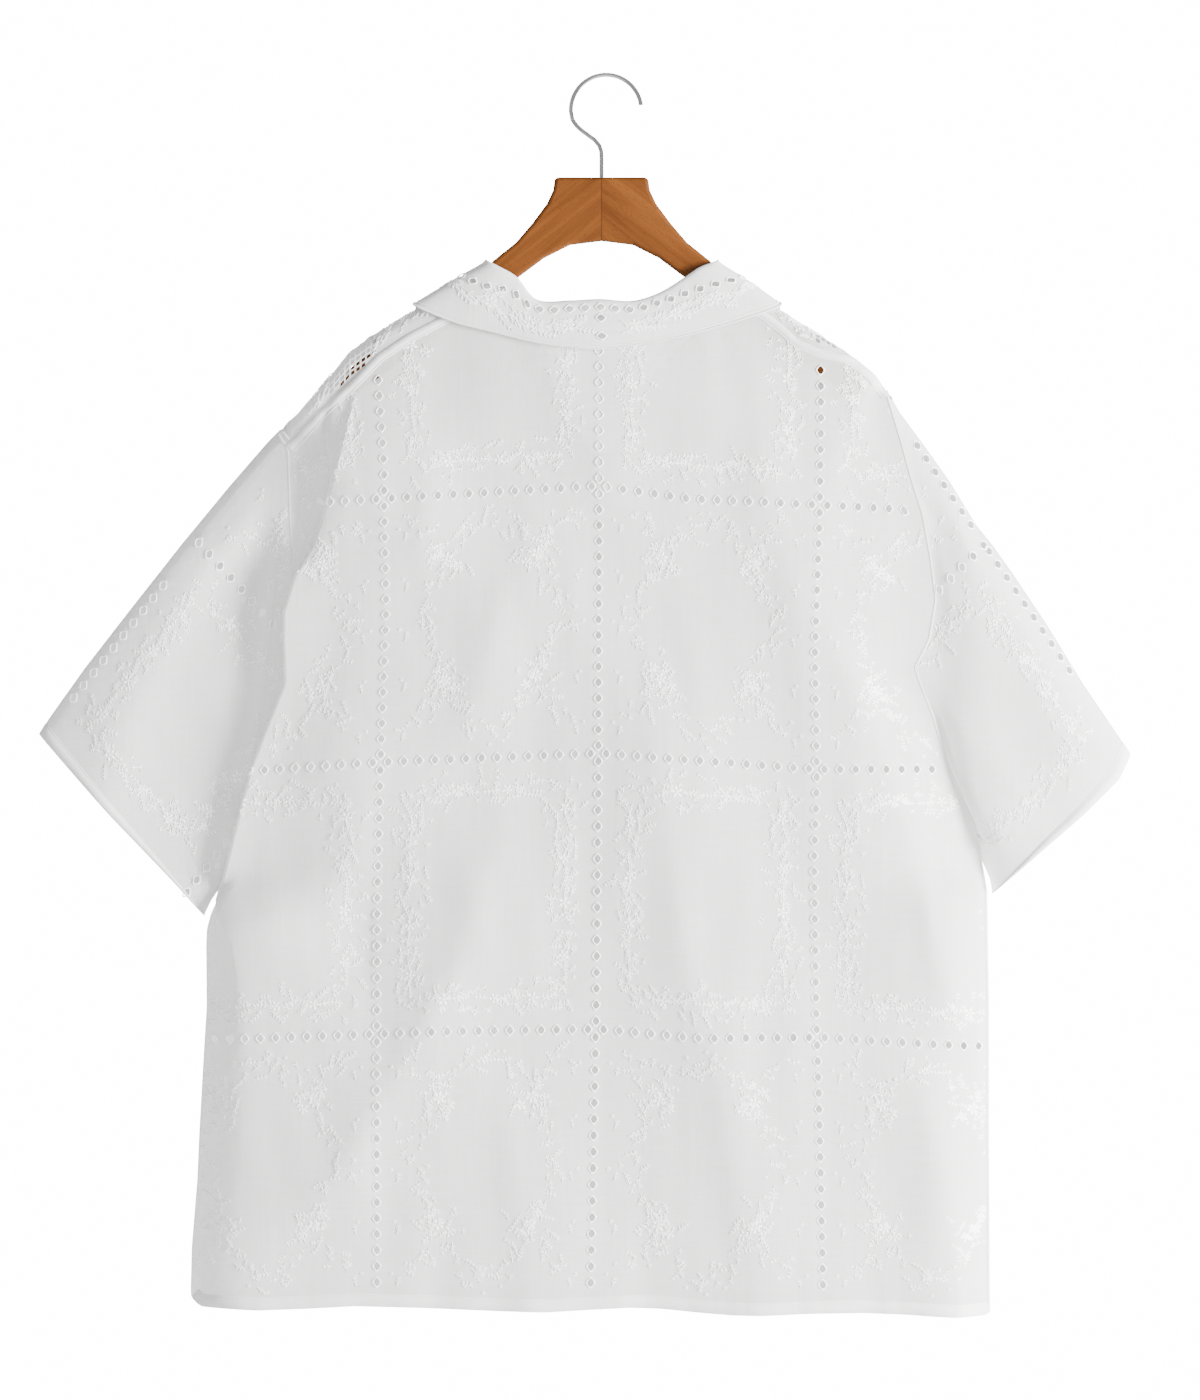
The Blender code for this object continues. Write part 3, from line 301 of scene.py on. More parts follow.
LEVEL_4 = ((-284.0, -906.0), (280.0, -908.0))


def warp_back(p, q):
    p, q = np.asarray(p, float), np.asarray(q, float)
    lo, mi, hi = table(LINE_LEFT, q) + PITCH_P, table(LINE_MID, q), table(LINE_RIGHT, q) - PITCH_P
    f = np.clip(p / PITCH_P, -1, 1)
    a = p + np.where(f < 0, mi * (1 + f) - lo * f, mi * (1 - f) + hi * f)
    d = [table(t, a) - r for t, r in zip((LEVEL_1, LEVEL_2, LEVEL_3, LEVEL_4), ROWS_Q)]
    dz = np.where(q > ROWS_Q[1], d[1] + (d[0] - d[1]) * np.clip((q - ROWS_Q[1]) / 200.0, 0, 1),
                  np.where(q > ROWS_Q[2], d[2] + (d[1] - d[2]) * (q - ROWS_Q[2]) / 202.0,
                           d[3] + (d[2] - d[3]) * np.clip((q - ROWS_Q[3]) / 200.0, 0, 1)))
    return a, q + dz


def warp_front(p, q):
    """The fronts are cut from the same cloth, a part of a repeat lower and further out."""
    p, q = np.asarray(p, float), np.asarray(q, float)
    return p + CENTRE_X + np.where(p < 0, -22.0, 22.0) * smooth(np.abs(p) / 60.0) + 3.0 * np.sin(q / 90.0), q - 33.0 + 3.0 * np.cos(p / 70.0)


# ---------------------------------------------------------------- sheets cut from a flat outline
def outline(parts, step=3.6):
    """Closed outline of lines of points, resampled."""
    out = []
    for line in parts:
        line = np.array(line, float)
        d = np.r_[0.0, np.cumsum(np.hypot(*np.diff(line, axis=0).T))]
        n = max(1, int(round(d[-1] / step)))
        t = np.linspace(0, d[-1], n + 1)[:-1]
        out.append(np.stack([np.interp(t, d, line[:, 0]), np.interp(t, d, line[:, 1])], -1))
    return np.concatenate(out)


def inside(pts, poly):
    x, y = pts[:, 0], pts[:, 1]
    out = np.zeros(len(pts), bool)
    ax, ay = poly[:, 0], poly[:, 1]
    bx, by = np.roll(ax, -1), np.roll(ay, -1)
    for i in range(0, len(pts), 20000):
        xs, ys = x[i:i + 20000, None], y[i:i + 20000, None]
        cross = ((ay > ys) != (by > ys)) & (xs < (bx - ax) * (ys - ay) / (by - ay + 1e-12) + ax)
        out[i:i + 20000] = cross.sum(1) % 2 == 1
    return out


def well_inside(pts, poly, margin):
    ok = inside(pts, poly)
    for k in range(8):
        a = math.pi * k / 4
        ok &= inside(pts + margin * np.array([math.cos(a), math.sin(a)]), poly)
    return ok


def cut_sheet(poly, holes, step, extra=None, bare=None):
    """Triangles of the outline poly with holes cut out. extra: more inner points; bare: where the even points are left out."""
    lo, hi = poly.min(0), poly.max(0)
    xs = np.arange(lo[0], hi[0], step)
    zs = np.arange(lo[1], hi[1], step * 0.88)
    g = np.array([(x + (step / 2 if j % 2 else 0), z) for j, z in enumerate(zs) for x in xs])
    if bare is not None:
        g = g[~bare(g)]
    if extra is not None and len(extra):
        g = np.concatenate([g, extra])
    g = g[inside(g, poly)]
    # points too near the outline or a hole go
    cell = {}
    near = np.concatenate([poly] + [h for h in holes]) if holes else poly
    for k, p in enumerate(near):
        cell.setdefault((int(p[0] // 4), int(p[1] // 4)), []).append(k)
    keep = []
    mid = {}
    for h in holes:
        c = h.mean(0)
        r = np.hypot(*(h - c).T).max() + 0.9
        mid.setdefault((int(c[0] // 8), int(c[1] // 8)), []).append((c[0], c[1], r * r))
    for p in g:
        i, j = int(p[0] // 4), int(p[1] // 4)
        ok = True
        for a in (-1, 0, 1):
            for b in (-1, 0, 1):
                for k in cell.get((i + a, j + b), ()):
                    if (near[k][0] - p[0]) ** 2 + (near[k][1] - p[1]) ** 2 < 1.5:
                        ok = False
                        break
        if ok:
            i, j = int(p[0] // 8), int(p[1] // 8)
            for a in (-1, 0, 1):
                for b in (-1, 0, 1):
                    for cx, cy, rr in mid.get((i + a, j + b), ()):
                        if (cx - p[0]) ** 2 + (cy - p[1]) ** 2 < rr:
                            ok = False
        keep.append(ok)
    g = g[np.array(keep, bool)] if len(g) else g
    verts = [Vector(p) for p in poly]
    owner = [-1] * len(poly)
    edges = [(i, (i + 1) % len(poly)) for i in range(len(poly))]
    for n, h in enumerate(holes):
        s = len(verts)
        verts += [Vector(p) for p in h]
        owner += [n] * len(h)
        edges += [(s + i, s + (i + 1) % len(h)) for i in range(len(h))]
    verts += [Vector(p) for p in g]
    owner += [-2] * len(g)
    v, e, f, ov, oe, of = delaunay_2d_cdt(verts, edges, [], 0, 1e-4)
    v = np.array([(p[0], p[1]) for p in v])
    f = np.array([t for t in f if len(t) == 3], int)
    own = np.array([owner[o[0]] if o else -2 for o in ov])
    t = own[f]
    hole = (t[:, 0] >= 0) & (t[:, 0] == t[:, 1]) & (t[:, 1] == t[:, 2])
    f = f[~hole]
    f = f[inside(v[f].mean(1), poly)]
    used = np.unique(f)
    where = -np.ones(len(v), int)
    where[used] = np.arange(len(used))
    return v[used], where[f]


def mesh_object(name, verts, faces, mat, smooth_it=True):
    me = bpy.data.meshes.new(name)
    verts = np.asarray(verts, float) * MM
    me.vertices.add(len(verts))
    me.vertices.foreach_set("co", verts.ravel())
    faces = [np.asarray(f, int) for f in faces] if isinstance(faces, list) else [np.asarray(faces, int)]
    loops = np.concatenate([f.ravel() for f in faces])
    sizes = np.concatenate([np.full(len(f), f.shape[1]) for f in faces])
    me.loops.add(len(loops))
    me.loops.foreach_set("vertex_index", loops)
    me.polygons.add(len(sizes))
    me.polygons.foreach_set("loop_start", np.r_[0, np.cumsum(sizes)[:-1]])
    me.polygons.foreach_set("loop_total", sizes)
    me.polygons.foreach_set("use_smooth", np.full(len(sizes), smooth_it))
    me.update(calc_edges=True)
    me.validate()
    me.materials.append(mat)
    ob = bpy.data.objects.new(name, me)
    bpy.context.scene.collection.objects.link(ob)
    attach(ob, "root")
    return ob


class Surface:
    """A sheet: maps a point of its cut (u, v) to space, with its outward normal."""

    def __init__(self, at, outward):
        self.at, self.outward = at, outward

    def raised(self, u, v, h):
        e = 0.6
        p = self.at(u, v)
        du = self.at(u + e, v) - self.at(u - e, v)
        dv = self.at(u, v + e) - self.at(u, v - e)
        n = np.cross(du, dv)
        n /= np.maximum(np.linalg.norm(n, axis=-1, keepdims=True), 1e-9)
        return p + n * (self.outward * np.asarray(h))[..., None]


# ---------------------------------------------------------------- thread work
LEAF = np.array([(0.0, 0.0, 0.15), (0.28, -0.5, 0.1), (0.68, -0.38, 0.1), (1.0, 0.0, 0.1), (0.68, 0.38, 0.1),
                 (0.28, 0.5, 0.1), (0.42, 0.0, 1.0)])
LEAF_F = np.array([(0, 1, 6), (1, 2, 6), (2, 3, 6), (3, 4, 6), (4, 5, 6), (5, 0, 6)])
THREAD = 0.55         # height of the raised thread


class Work:
    """Stitched motifs in the pattern's plane (p, q), kept as lists."""

    def __init__(self):
        self.leaves, self.stems, self.rings = [], [], []

    def leaf(self, x, y, ang, size=4.6, wide=0.8):
        self.leaves.append((x, y, ang, size, wide))

    def ring(self, x, y, inner=0.5, outer=1.3):
        """A tiny stitched dot with a pinhole."""
        self.rings.append((x, y, inner, inner, outer, outer, 0.0, 0.0))

    def eyelet(self, x, y, turned=False):
        rx, ry = EYELET[::-1] if turned else EYELET
        self.rings.append((x, y, rx - 0.15, ry - 0.15, rx + BORDER, ry + BORDER * 1.15, 0.13, 0.26))

    def stem(self, pts, wide=0.55):
        self.stems.append((np.array(pts, float), wide))

    def sprig(self, x, y, ang, n=4, size=4.2, gap=3.0, bend=0.0):
        """A short stem with leaves on both sides and one at the tip."""
        pts = [(x, y)]
        for k in range(n):
            ang += bend
            x, y = x + gap * math.cos(ang), y + gap * math.sin(ang)
            pts.append((x, y))
            s = size * (1 - 0.08 * k)
            self.leaf(x, y, ang + 0.85, s)
            self.leaf(x, y, ang - 0.85, s)
        self.leaf(x, y, ang, size)
        self.stem(pts)

    def flower(self, x, y, r, petals=5, turn=0.0):
        for k in range(petals):
            a = turn + 2 * math.pi * k / petals
            self.leaf(x + 1.1 * math.cos(a), y + 1.1 * math.sin(a), a, r, r * 0.5)
        self.ring(x, y, 0.35, 1.15)

    def bunch(self, x, y, face, s=1.0):
        """Flowers with buds and leaves; face is 1 or -1, the side it opens to."""
        self.flower(x, y, 5.0 * s, 5, 0.3)
        self.flower(x + face * 8.0 * s, y + 5.5 * s, 3.9 * s, 5, 1.1)
        self.flower(x + face * 7.0 * s, y - 6.0 * s, 3.9 * s, 5, 0.7)
        self.flower(x - face * 3.0 * s, y + 9.0 * s, 3.4 * s, 5, 0.1)
        self.flower(x - face * 3.5 * s, y - 9.5 * s, 3.2 * s, 5, 0.5)
        for k, (a, n) in enumerate(((1.25, 3), (0.75, 4), (0.2, 3), (-0.35, 3), (-0.85, 4), (-1.35, 3))):
            a = a if face > 0 else math.pi - a
            self.sprig(x + 6.0 * s * math.cos(a), y + 6.0 * s * math.sin(a), a, n, 3.4 * s, 2.7 * s, 0.12 * (1 if k % 2 else -1))
        for a in (2.1, 2.7, 3.5, 4.1):
            a = a if face > 0 else math.pi - a
            self.leaf(x + 5.0 * math.cos(a), y + 5.0 * math.sin(a), a, 4.6 * s, 1.1)

    def vine(self, pts, every=4.2, sway=2.6, period=23.0, size=5.4, curls=True, phase=0.0):
        """Leafy stem along a line of points, swaying from side to side."""
        p = np.array(pts, float)
        d = np.r_[0.0, np.cumsum(np.hypot(*np.diff(p, axis=0).T))]
        n = max(4, int(d[-1] / 2.1))
        t = np.linspace(0, d[-1], n)
        x, y = np.interp(t, d, p[:, 0]), np.interp(t, d, p[:, 1])
        tx, ty = np.gradient(x), np.gradient(y)
        m = np.maximum(np.hypot(tx, ty), 1e-9)
        nx, ny = -ty / m, tx / m
        k = np.convolve(np.pad(np.stack([nx, ny]), ((0, 0), (3, 3)), mode="edge")[0], np.ones(7) / 7, "valid")
        l = np.convolve(np.pad(np.stack([nx, ny]), ((0, 0), (3, 3)), mode="edge")[1], np.ones(7) / 7, "valid")
        off = sway * np.sin(2 * math.pi * t / period + phase)
        x, y = x + k * off, y + l * off
        self.stem(np.stack([x, y], -1))
        s, i, side = every * 0.5, 0, 1
        while s < d[-1]:
            cx, cy = np.interp(s, t, x), np.interp(s, t, y)
            ex, ey = np.interp(min(s + 1.5, d[-1]), t, x), np.interp(min(s + 1.5, d[-1]), t, y)
            ang = math.atan2(ey - cy, ex - cx) if s + 1.5 <= d[-1] else 0.0
            self.leaf(cx, cy, ang + 0.72, size, 0.75)
            if i % 2:
                self.leaf(cx, cy, ang - 0.72, size * 0.95, 0.75)
            if curls and i % 3 == 1:
                self.sprig(cx, cy, ang + side * 0.95, 3, size * 0.72, 2.6, -side * 0.28)
                side = -side
            s += every
            i += 1

    def frame_cell(self, x0, x1, y0, y1, inset=24.0):
        """A broad leafy frame inside a cell, plain in the middle: two thin vines with twigs and small flowers between."""
        seed = int(abs(x0) * 7 + abs(y0)) % 9973
        for k, (d, sway, period) in enumerate(((-5.0, 2.6, 34.0), (5.0, 2.6, 41.0))):
            a, b, c, e = x0 + inset + d, x1 - inset - d, y0 + inset + d, y1 - inset - d
            r = 10.0
            corner = lambda cx, cy, s: [(cx + r * math.cos(s + t), cy + r * math.sin(s + t)) for t in np.linspace(0, math.pi / 2, 5)]
            path = corner(b - r, e - r, 0.0) + corner(a + r, e - r, math.pi / 2) + corner(a + r, c + r, math.pi) + \
                corner(b - r, c + r, 1.5 * math.pi)
            path.append(path[0])
            self.thicket(path, 6.5, 4.3, seed + k, 3.3)
        a, b, c, e = x0 + inset, x1 - inset, y0 + inset, y1 - inset
        side = [(a, c + (e - c) * u, math.pi / 2) for u in (0.12, 0.36, 0.58, 0.84)] + [(b, c + (e - c) * u, -math.pi / 2) for u in (0.2, 0.45, 0.66, 0.9)]
        side += [(a + (b - a) * u, c, 0.0) for u in (0.22, 0.55, 0.8)] + [(a + (b - a) * u, e, math.pi) for u in (0.3, 0.62)]
        for k, (x, y, g) in enumerate(side):
            self.flower(x, y, 3.2 + 0.4 * (k % 3), 5, 0.5 * k)
            self.sprig(x + 4 * math.cos(g), y + 4 * math.sin(g), g + 0.25, 4, 3.6, 2.9, 0.05 if k % 2 else -0.06)
            self.sprig(x - 4 * math.cos(g), y - 4 * math.sin(g), g + math.pi - 0.3, 3, 3.4, 2.8, 0.08 if k % 2 else -0.05)

    def thicket(self, path, half, step, seed, size=3.1):
        """Short twigs strewn over a band along a path, thinner towards its borders."""
        pick = np.random.RandomState(seed)
        path = np.asarray(path, float)
        d = np.r_[0.0, np.cumsum(np.hypot(*np.diff(path, axis=0).T))]
        for t in np.arange(step * 0.5, d[-1], step):
            x, y = np.interp(t, d, path[:, 0]), np.interp(t, d, path[:, 1])
            x2, y2 = np.interp(t + 1.0, d, path[:, 0]), np.interp(t + 1.0, d, path[:, 1])
            a = math.atan2(y2 - y, x2 - x) if t + 1.0 < d[-1] else 0.0
            o = half * float(np.clip(pick.normal(0.0, 0.55), -1.0, 1.0))
            turn = a + pick.uniform(-1.3, 1.3) + (math.pi if pick.uniform() < 0.4 else 0.0)
            self.sprig(x - o * math.sin(a), y + o * math.cos(a), turn, 1 + int(pick.randint(0, 3)), size * pick.uniform(0.8, 1.15),
                       pick.uniform(2.3, 3.0), pick.uniform(-0.2, 0.2))

    def spray_cell(self, x0, x1, y0, y1):
        """Flower bunches beside both upright lines in a loose oval of twigs."""
        w, h = x1 - x0, y1 - y0
        seed = int(abs(x0) + 3 * abs(y0)) % 9973
        t, b = y1 - 0.24 * h, y0 + 0.30 * h
        for k, (x, f) in enumerate(((x0, 1), (x1, -1))):
            bx = x + f * 46.0
            for y in (t, b):
                self.flower(bx, y, 4.2, 6, 0.3)
                self.flower(bx + f * 8.0, y - 6.0, 3.2, 5, 0.7)
                self.flower(bx - f * 5.0, y + 8.0, 3.0, 5, 0.1)
                blob = [(bx + 9.0 * math.cos(u), y + 9.0 * math.sin(u)) for u in np.linspace(0.2, 6.2, 12)]
                self.thicket(blob, 7.0, 2.5, seed + 5 * k + int(y > (t + b) / 2))
            side = [(bx - f * (2 + 18 * math.sin(math.pi * u)), t - 12 + (b - t + 24) * u) for u in np.linspace(0, 1, 12)]
            self.thicket(side, 8.5, 3.2, seed + 11 + k)
            for y, s in ((t, 1), (b, -1)):
                arc = [(bx - f * (2 + 26 * u), y + s * (10 + 22 * math.sin(u * math.pi / 2))) for u in np.linspace(0, 1, 8)]
                self.thicket(arc, 6.5, 3.4, seed + 17 + k + 2 * s)
            for m in range(5):
                y = y0 + h * (0.12 + 0.19 * m)
                self.ring(x + f * (11.0 + 2.5 * (m % 2)), y)
                self.sprig(x + f * 15.0, y - 9.0, math.pi / 2 - f * 0.5, 2, 2.8, 2.4, f * 0.15)
        xa, xb = x0 + 50.0, x1 - 50.0
        for y, s in ((t, 1), (b, -1)):
            reach = (y1 - y if s > 0 else y - y0) - 20.0
            arc = [(xa + (xb - xa) * u, y + s * (12 + (reach - 12) * math.sin(math.pi * u))) for u in np.linspace(0, 1, 14)]
            self.thicket(arc, 8.0, 3.0, seed + 23 + s)
            for g in (-14.0, 0.0, 13.0):
                self.ring((xa + xb) / 2 + g, y + s * (reach + (10.0 if g == 0.0 else 5.0)))

    def build(self, name, to_sheet, surf, poly, mat, margin=2.5):
        """One mesh of all motifs that lie on the sheet. to_sheet maps (p, q) to the cut."""
        vs, fs, n = [], [], 0

        def put(v, f):
            nonlocal n
            vs.append(v.reshape(-1, 3))
            fs.append((f[None] + (np.arange(len(v))[:, None, None] * v.shape[1])).reshape(-1, 3) + n)
            n += len(v) * v.shape[1]
        if self.leaves:
            L = np.array(self.leaves)
            u, v = to_sheet(L[:, 0], L[:, 1])
            tip = to_sheet(L[:, 0] + L[:, 3] * np.cos(L[:, 2]), L[:, 1] + L[:, 3] * np.sin(L[:, 2]))
            ok = well_inside(np.stack([u, v], -1), poly, margin) & well_inside(np.stack(tip, -1), poly, margin * 0.6)
            L = L[ok]
            c, s = np.cos(L[:, 2])[:, None], np.sin(L[:, 2])[:, None]
            a, b = LEAF[None, :, 0] * L[:, 3:4], LEAF[None, :, 1] * L[:, 4:5]
            put(np.stack([L[:, 0:1] + a * c - b * s, L[:, 1:2] + a * s + b * c, np.broadcast_to(LEAF[None, :, 2] * THREAD, a.shape)], -1), LEAF_F)
        if self.rings:
            R = np.array(self.rings)
            u, v = to_sheet(R[:, 0], R[:, 1])
            R = R[well_inside(np.stack([u, v], -1), poly, margin)]
            for big in (False, True):
                r = R[(R[:, 4] > 2.0) == big]
                if not len(r):
                    continue
                seg = 16 if big else 8
                t = np.arange(seg) * 2 * math.pi / seg
                dip = (0.5 - 0.5 * np.cos(4 * t))[None]
                loops = []
                for mix, h in ((0.0, 0.0), (0.42, 1.0), (1.0, 0.06)):
                    k = 1 - dip * (r[:, 6:7] + (r[:, 7:8] - r[:, 6:7]) * mix)
                    rx = (r[:, 2:3] + (r[:, 4:5] - r[:, 2:3]) * mix) * k
                    ry = (r[:, 3:4] + (r[:, 5:6] - r[:, 3:4]) * mix) * k
                    loops.append(np.stack([r[:, 0:1] + rx * np.cos(t), r[:, 1:2] + ry * np.sin(t), np.full(rx.shape, h * THREAD * (1.15 if big else 0.8))], -1))
                v = np.concatenate(loops, 1)
                i = np.arange(seg)
                j = (i + 1) % seg
                f = []
                for lo, hi in ((0, seg), (seg, 2 * seg)):
                    f += [(lo + a, lo + b, hi + b) for a, b in zip(i, j)] + [(lo + a, hi + b, hi + a) for a, b in zip(i, j)]
                put(v, np.array(f))
        for pts, wide in self.stems:
            u, v = to_sheet(pts[:, 0], pts[:, 1])
            ok = well_inside(np.stack([u, v], -1), poly, margin)
            if ok.sum() < 2:
                continue
            d = np.gradient(pts, axis=0)
            d /= np.maximum(np.linalg.norm(d, axis=1, keepdims=True), 1e-9)
            nn = np.stack([-d[:, 1], d[:, 0]], -1) * wide / 2
            cols = np.stack([np.c_[pts - nn, np.full(len(pts), 0.03)], np.c_[pts, np.full(len(pts), THREAD * 0.9)],
                             np.c_[pts + nn, np.full(len(pts), 0.03)]], 1)
            idx = np.arange(len(pts) - 1)[ok[:-1] & ok[1:]]
            if not len(idx):
                continue
            f = []
            for i in idx:
                for k in (0, 1):
                    a, b, c2, d2 = 3 * i + k, 3 * i + k + 1, 3 * i + 4 + k, 3 * i + 3 + k
                    f += [(a, b, c2), (a, c2, d2)]
            f = np.array(f)
            used = np.unique(f)
            where = -np.ones(len(cols) * 3, int)
            where[used] = np.arange(len(used))
            vs.append(cols.reshape(-1, 3)[used])
            fs.append(where[f] + n)
            n += len(used)
        v = np.concatenate(vs)
        u, w = to_sheet(v[:, 0], v[:, 1])
        xyz = surf.raised(u, w, v[:, 2] + 0.12)
        return mesh_object(name, xyz, np.concatenate(fs), mat)


EYELET = (2.5, 3.15)    # half width and half height of the hole
BORDER = 1.1            # stitched border round it


def eyelet_loop(x, y, n=12, turned=False):
    t = np.arange(n) * 2 * math.pi / n
    k = 1 - 0.13 * (0.5 - 0.5 * np.cos(4 * t))
    rx, ry = EYELET[::-1] if turned else EYELET
    return np.stack([x + rx * k * np.cos(t), y + ry * k * np.sin(t)], -1)


def pattern_eyelets(p0, p1, q0, q1):
    """Centres of the eyelets along the upright and level lines."""
    out = []
    step = PITCH_P / 14.0
    for q in ROWS_Q[:3]:
        k = math.floor(p0 / step)
        while (k + 0.5) * step < p1:
            out.append(((k + 0.5) * step, q))
            k += 1
    spans = ((ROWS_Q[0], ROWS_Q[0] + 200.0), (ROWS_Q[1], ROWS_Q[0]), (ROWS_Q[2], ROWS_Q[1]), (ROWS_Q[3], ROWS_Q[2]))
    for p in (-320.0, -160.0, 0.0, 160.0, 320.0):
        if not p0 < p < p1:
            continue
        for lo, hi in spans:
            for k in range(17):
                q = lo + (hi - lo) * (k + 0.5) / 17.0
                if q0 < q < q1:
                    out.append((p, q))
    return np.array(out)


def pattern_work(p0, p1, top):
    w = Work()
    for i in range(-2, 2):
        a, b = i * PITCH_P, (i + 1) * PITCH_P
        if b < p0 or a > p1:
            continue
        w.frame_cell(a, b, ROWS_Q[0], ROWS_Q[0] + 200.0)
        w.spray_cell(a, b, ROWS_Q[1], ROWS_Q[0])
        w.frame_cell(a, b, ROWS_Q[2], ROWS_Q[1])
        w.spray_cell(a, b, ROWS_Q[3], ROWS_Q[2])
    return w


def ribbon(surf, line, wide, height, side=1.0, start=0.0):
    """A flat band sewn on: line in the cut, wide to one side of it."""
    line = np.array(line, float)
    d = np.r_[0.0, np.cumsum(np.hypot(*np.diff(line, axis=0).T))]
    n = max(2, int(d[-1] / 2.5))
    t = np.linspace(0, d[-1], n)
    p = np.stack([np.interp(t, d, line[:, 0]), np.interp(t, d, line[:, 1])], -1)
    g = np.gradient(p, axis=0)
    g /= np.maximum(np.linalg.norm(g, axis=1, keepdims=True), 1e-9)
    nn = np.stack([-g[:, 1], g[:, 0]], -1) * side
    cols = ((start, 0.05), (start + 0.4, height), (wide - 1.7, height), (wide - 1.2, height * 0.35), (wide - 0.7, height), (wide, 0.05))
    v, m = [], len(cols)
    for off, h in cols:
        q = p + nn * off
        v.append(surf.raised(q[:, 0], q[:, 1], np.full(n, h)))
    v = np.stack(v, 1).reshape(-1, 3)
    i = (np.arange(n - 1)[:, None] * m + np.arange(m - 1)[None]).ravel()
    return v, np.stack([i, i + 1, i + m + 1, i + m], -1)


def seam(surf, line, wide=1.5, height=0.55):
    """A narrow rounded ridge along a seam."""
    line = np.array(line, float)
    d = np.r_[0.0, np.cumsum(np.hypot(*np.diff(line, axis=0).T))]
    n = max(2, int(d[-1] / 2.5))
    t = np.linspace(0, d[-1], n)
    p = np.stack([np.interp(t, d, line[:, 0]), np.interp(t, d, line[:, 1])], -1)
    g = np.gradient(p, axis=0)
    g /= np.maximum(np.linalg.norm(g, axis=1, keepdims=True), 1e-9)
    nn = np.stack([-g[:, 1], g[:, 0]], -1)
    v = []
    cols = ((-0.5, 0.03), (-0.25, height), (0.25, height), (0.5, 0.03))
    for off, h in cols:
        q = p + nn * off * wide
        v.append(surf.raised(q[:, 0], q[:, 1], np.full(n, h)))
    v = np.stack(v, 1).reshape(-1, 3)
    m = len(cols)
    i = (np.arange(n - 1)[:, None] * m + np.arange(m - 1)[None]).ravel()
    return v, np.stack([i, i + 1, i + m + 1, i + m], -1)


def joined(name, parts, mat):
    v, f, n = [], [], 0
    for a, b in parts:
        v.append(a)
        f.append(b + n)
        n += len(a)
    return mesh_object(name, np.concatenate(v), np.concatenate(f), mat)


# ---------------------------------------------------------------- materials
class Nodes:
    def __init__(self, name):
        self.mat = bpy.data.materials.new(name)
        self.mat.use_nodes = True
        self.t = self.mat.node_tree
        self.t.nodes.clear()
        self.out = self.t.nodes.new("ShaderNodeOutputMaterial")

    def add(self, kind, **sockets):
        n = self.t.nodes.new(kind)
        for k, v in sockets.items():
            if k.startswith("_"):
                setattr(n, k[1:], v)
            else:
                n.inputs[k.replace("__", " ")].default_value = v
        return n

    def link(self, a, b):
        self.t.links.new(a, b)


def coordinates(m, scale, turn=0.0):
    tc = m.add("ShaderNodeTexCoord")
    mp = m.add("ShaderNodeMapping")
    mp.inputs["Scale"].default_value = scale
    mp.inputs["Rotation"].default_value = (0.0, turn, 0.0)
    m.link(tc.outputs["Object"], mp.inputs["Vector"])
    return mp.outputs["Vector"]


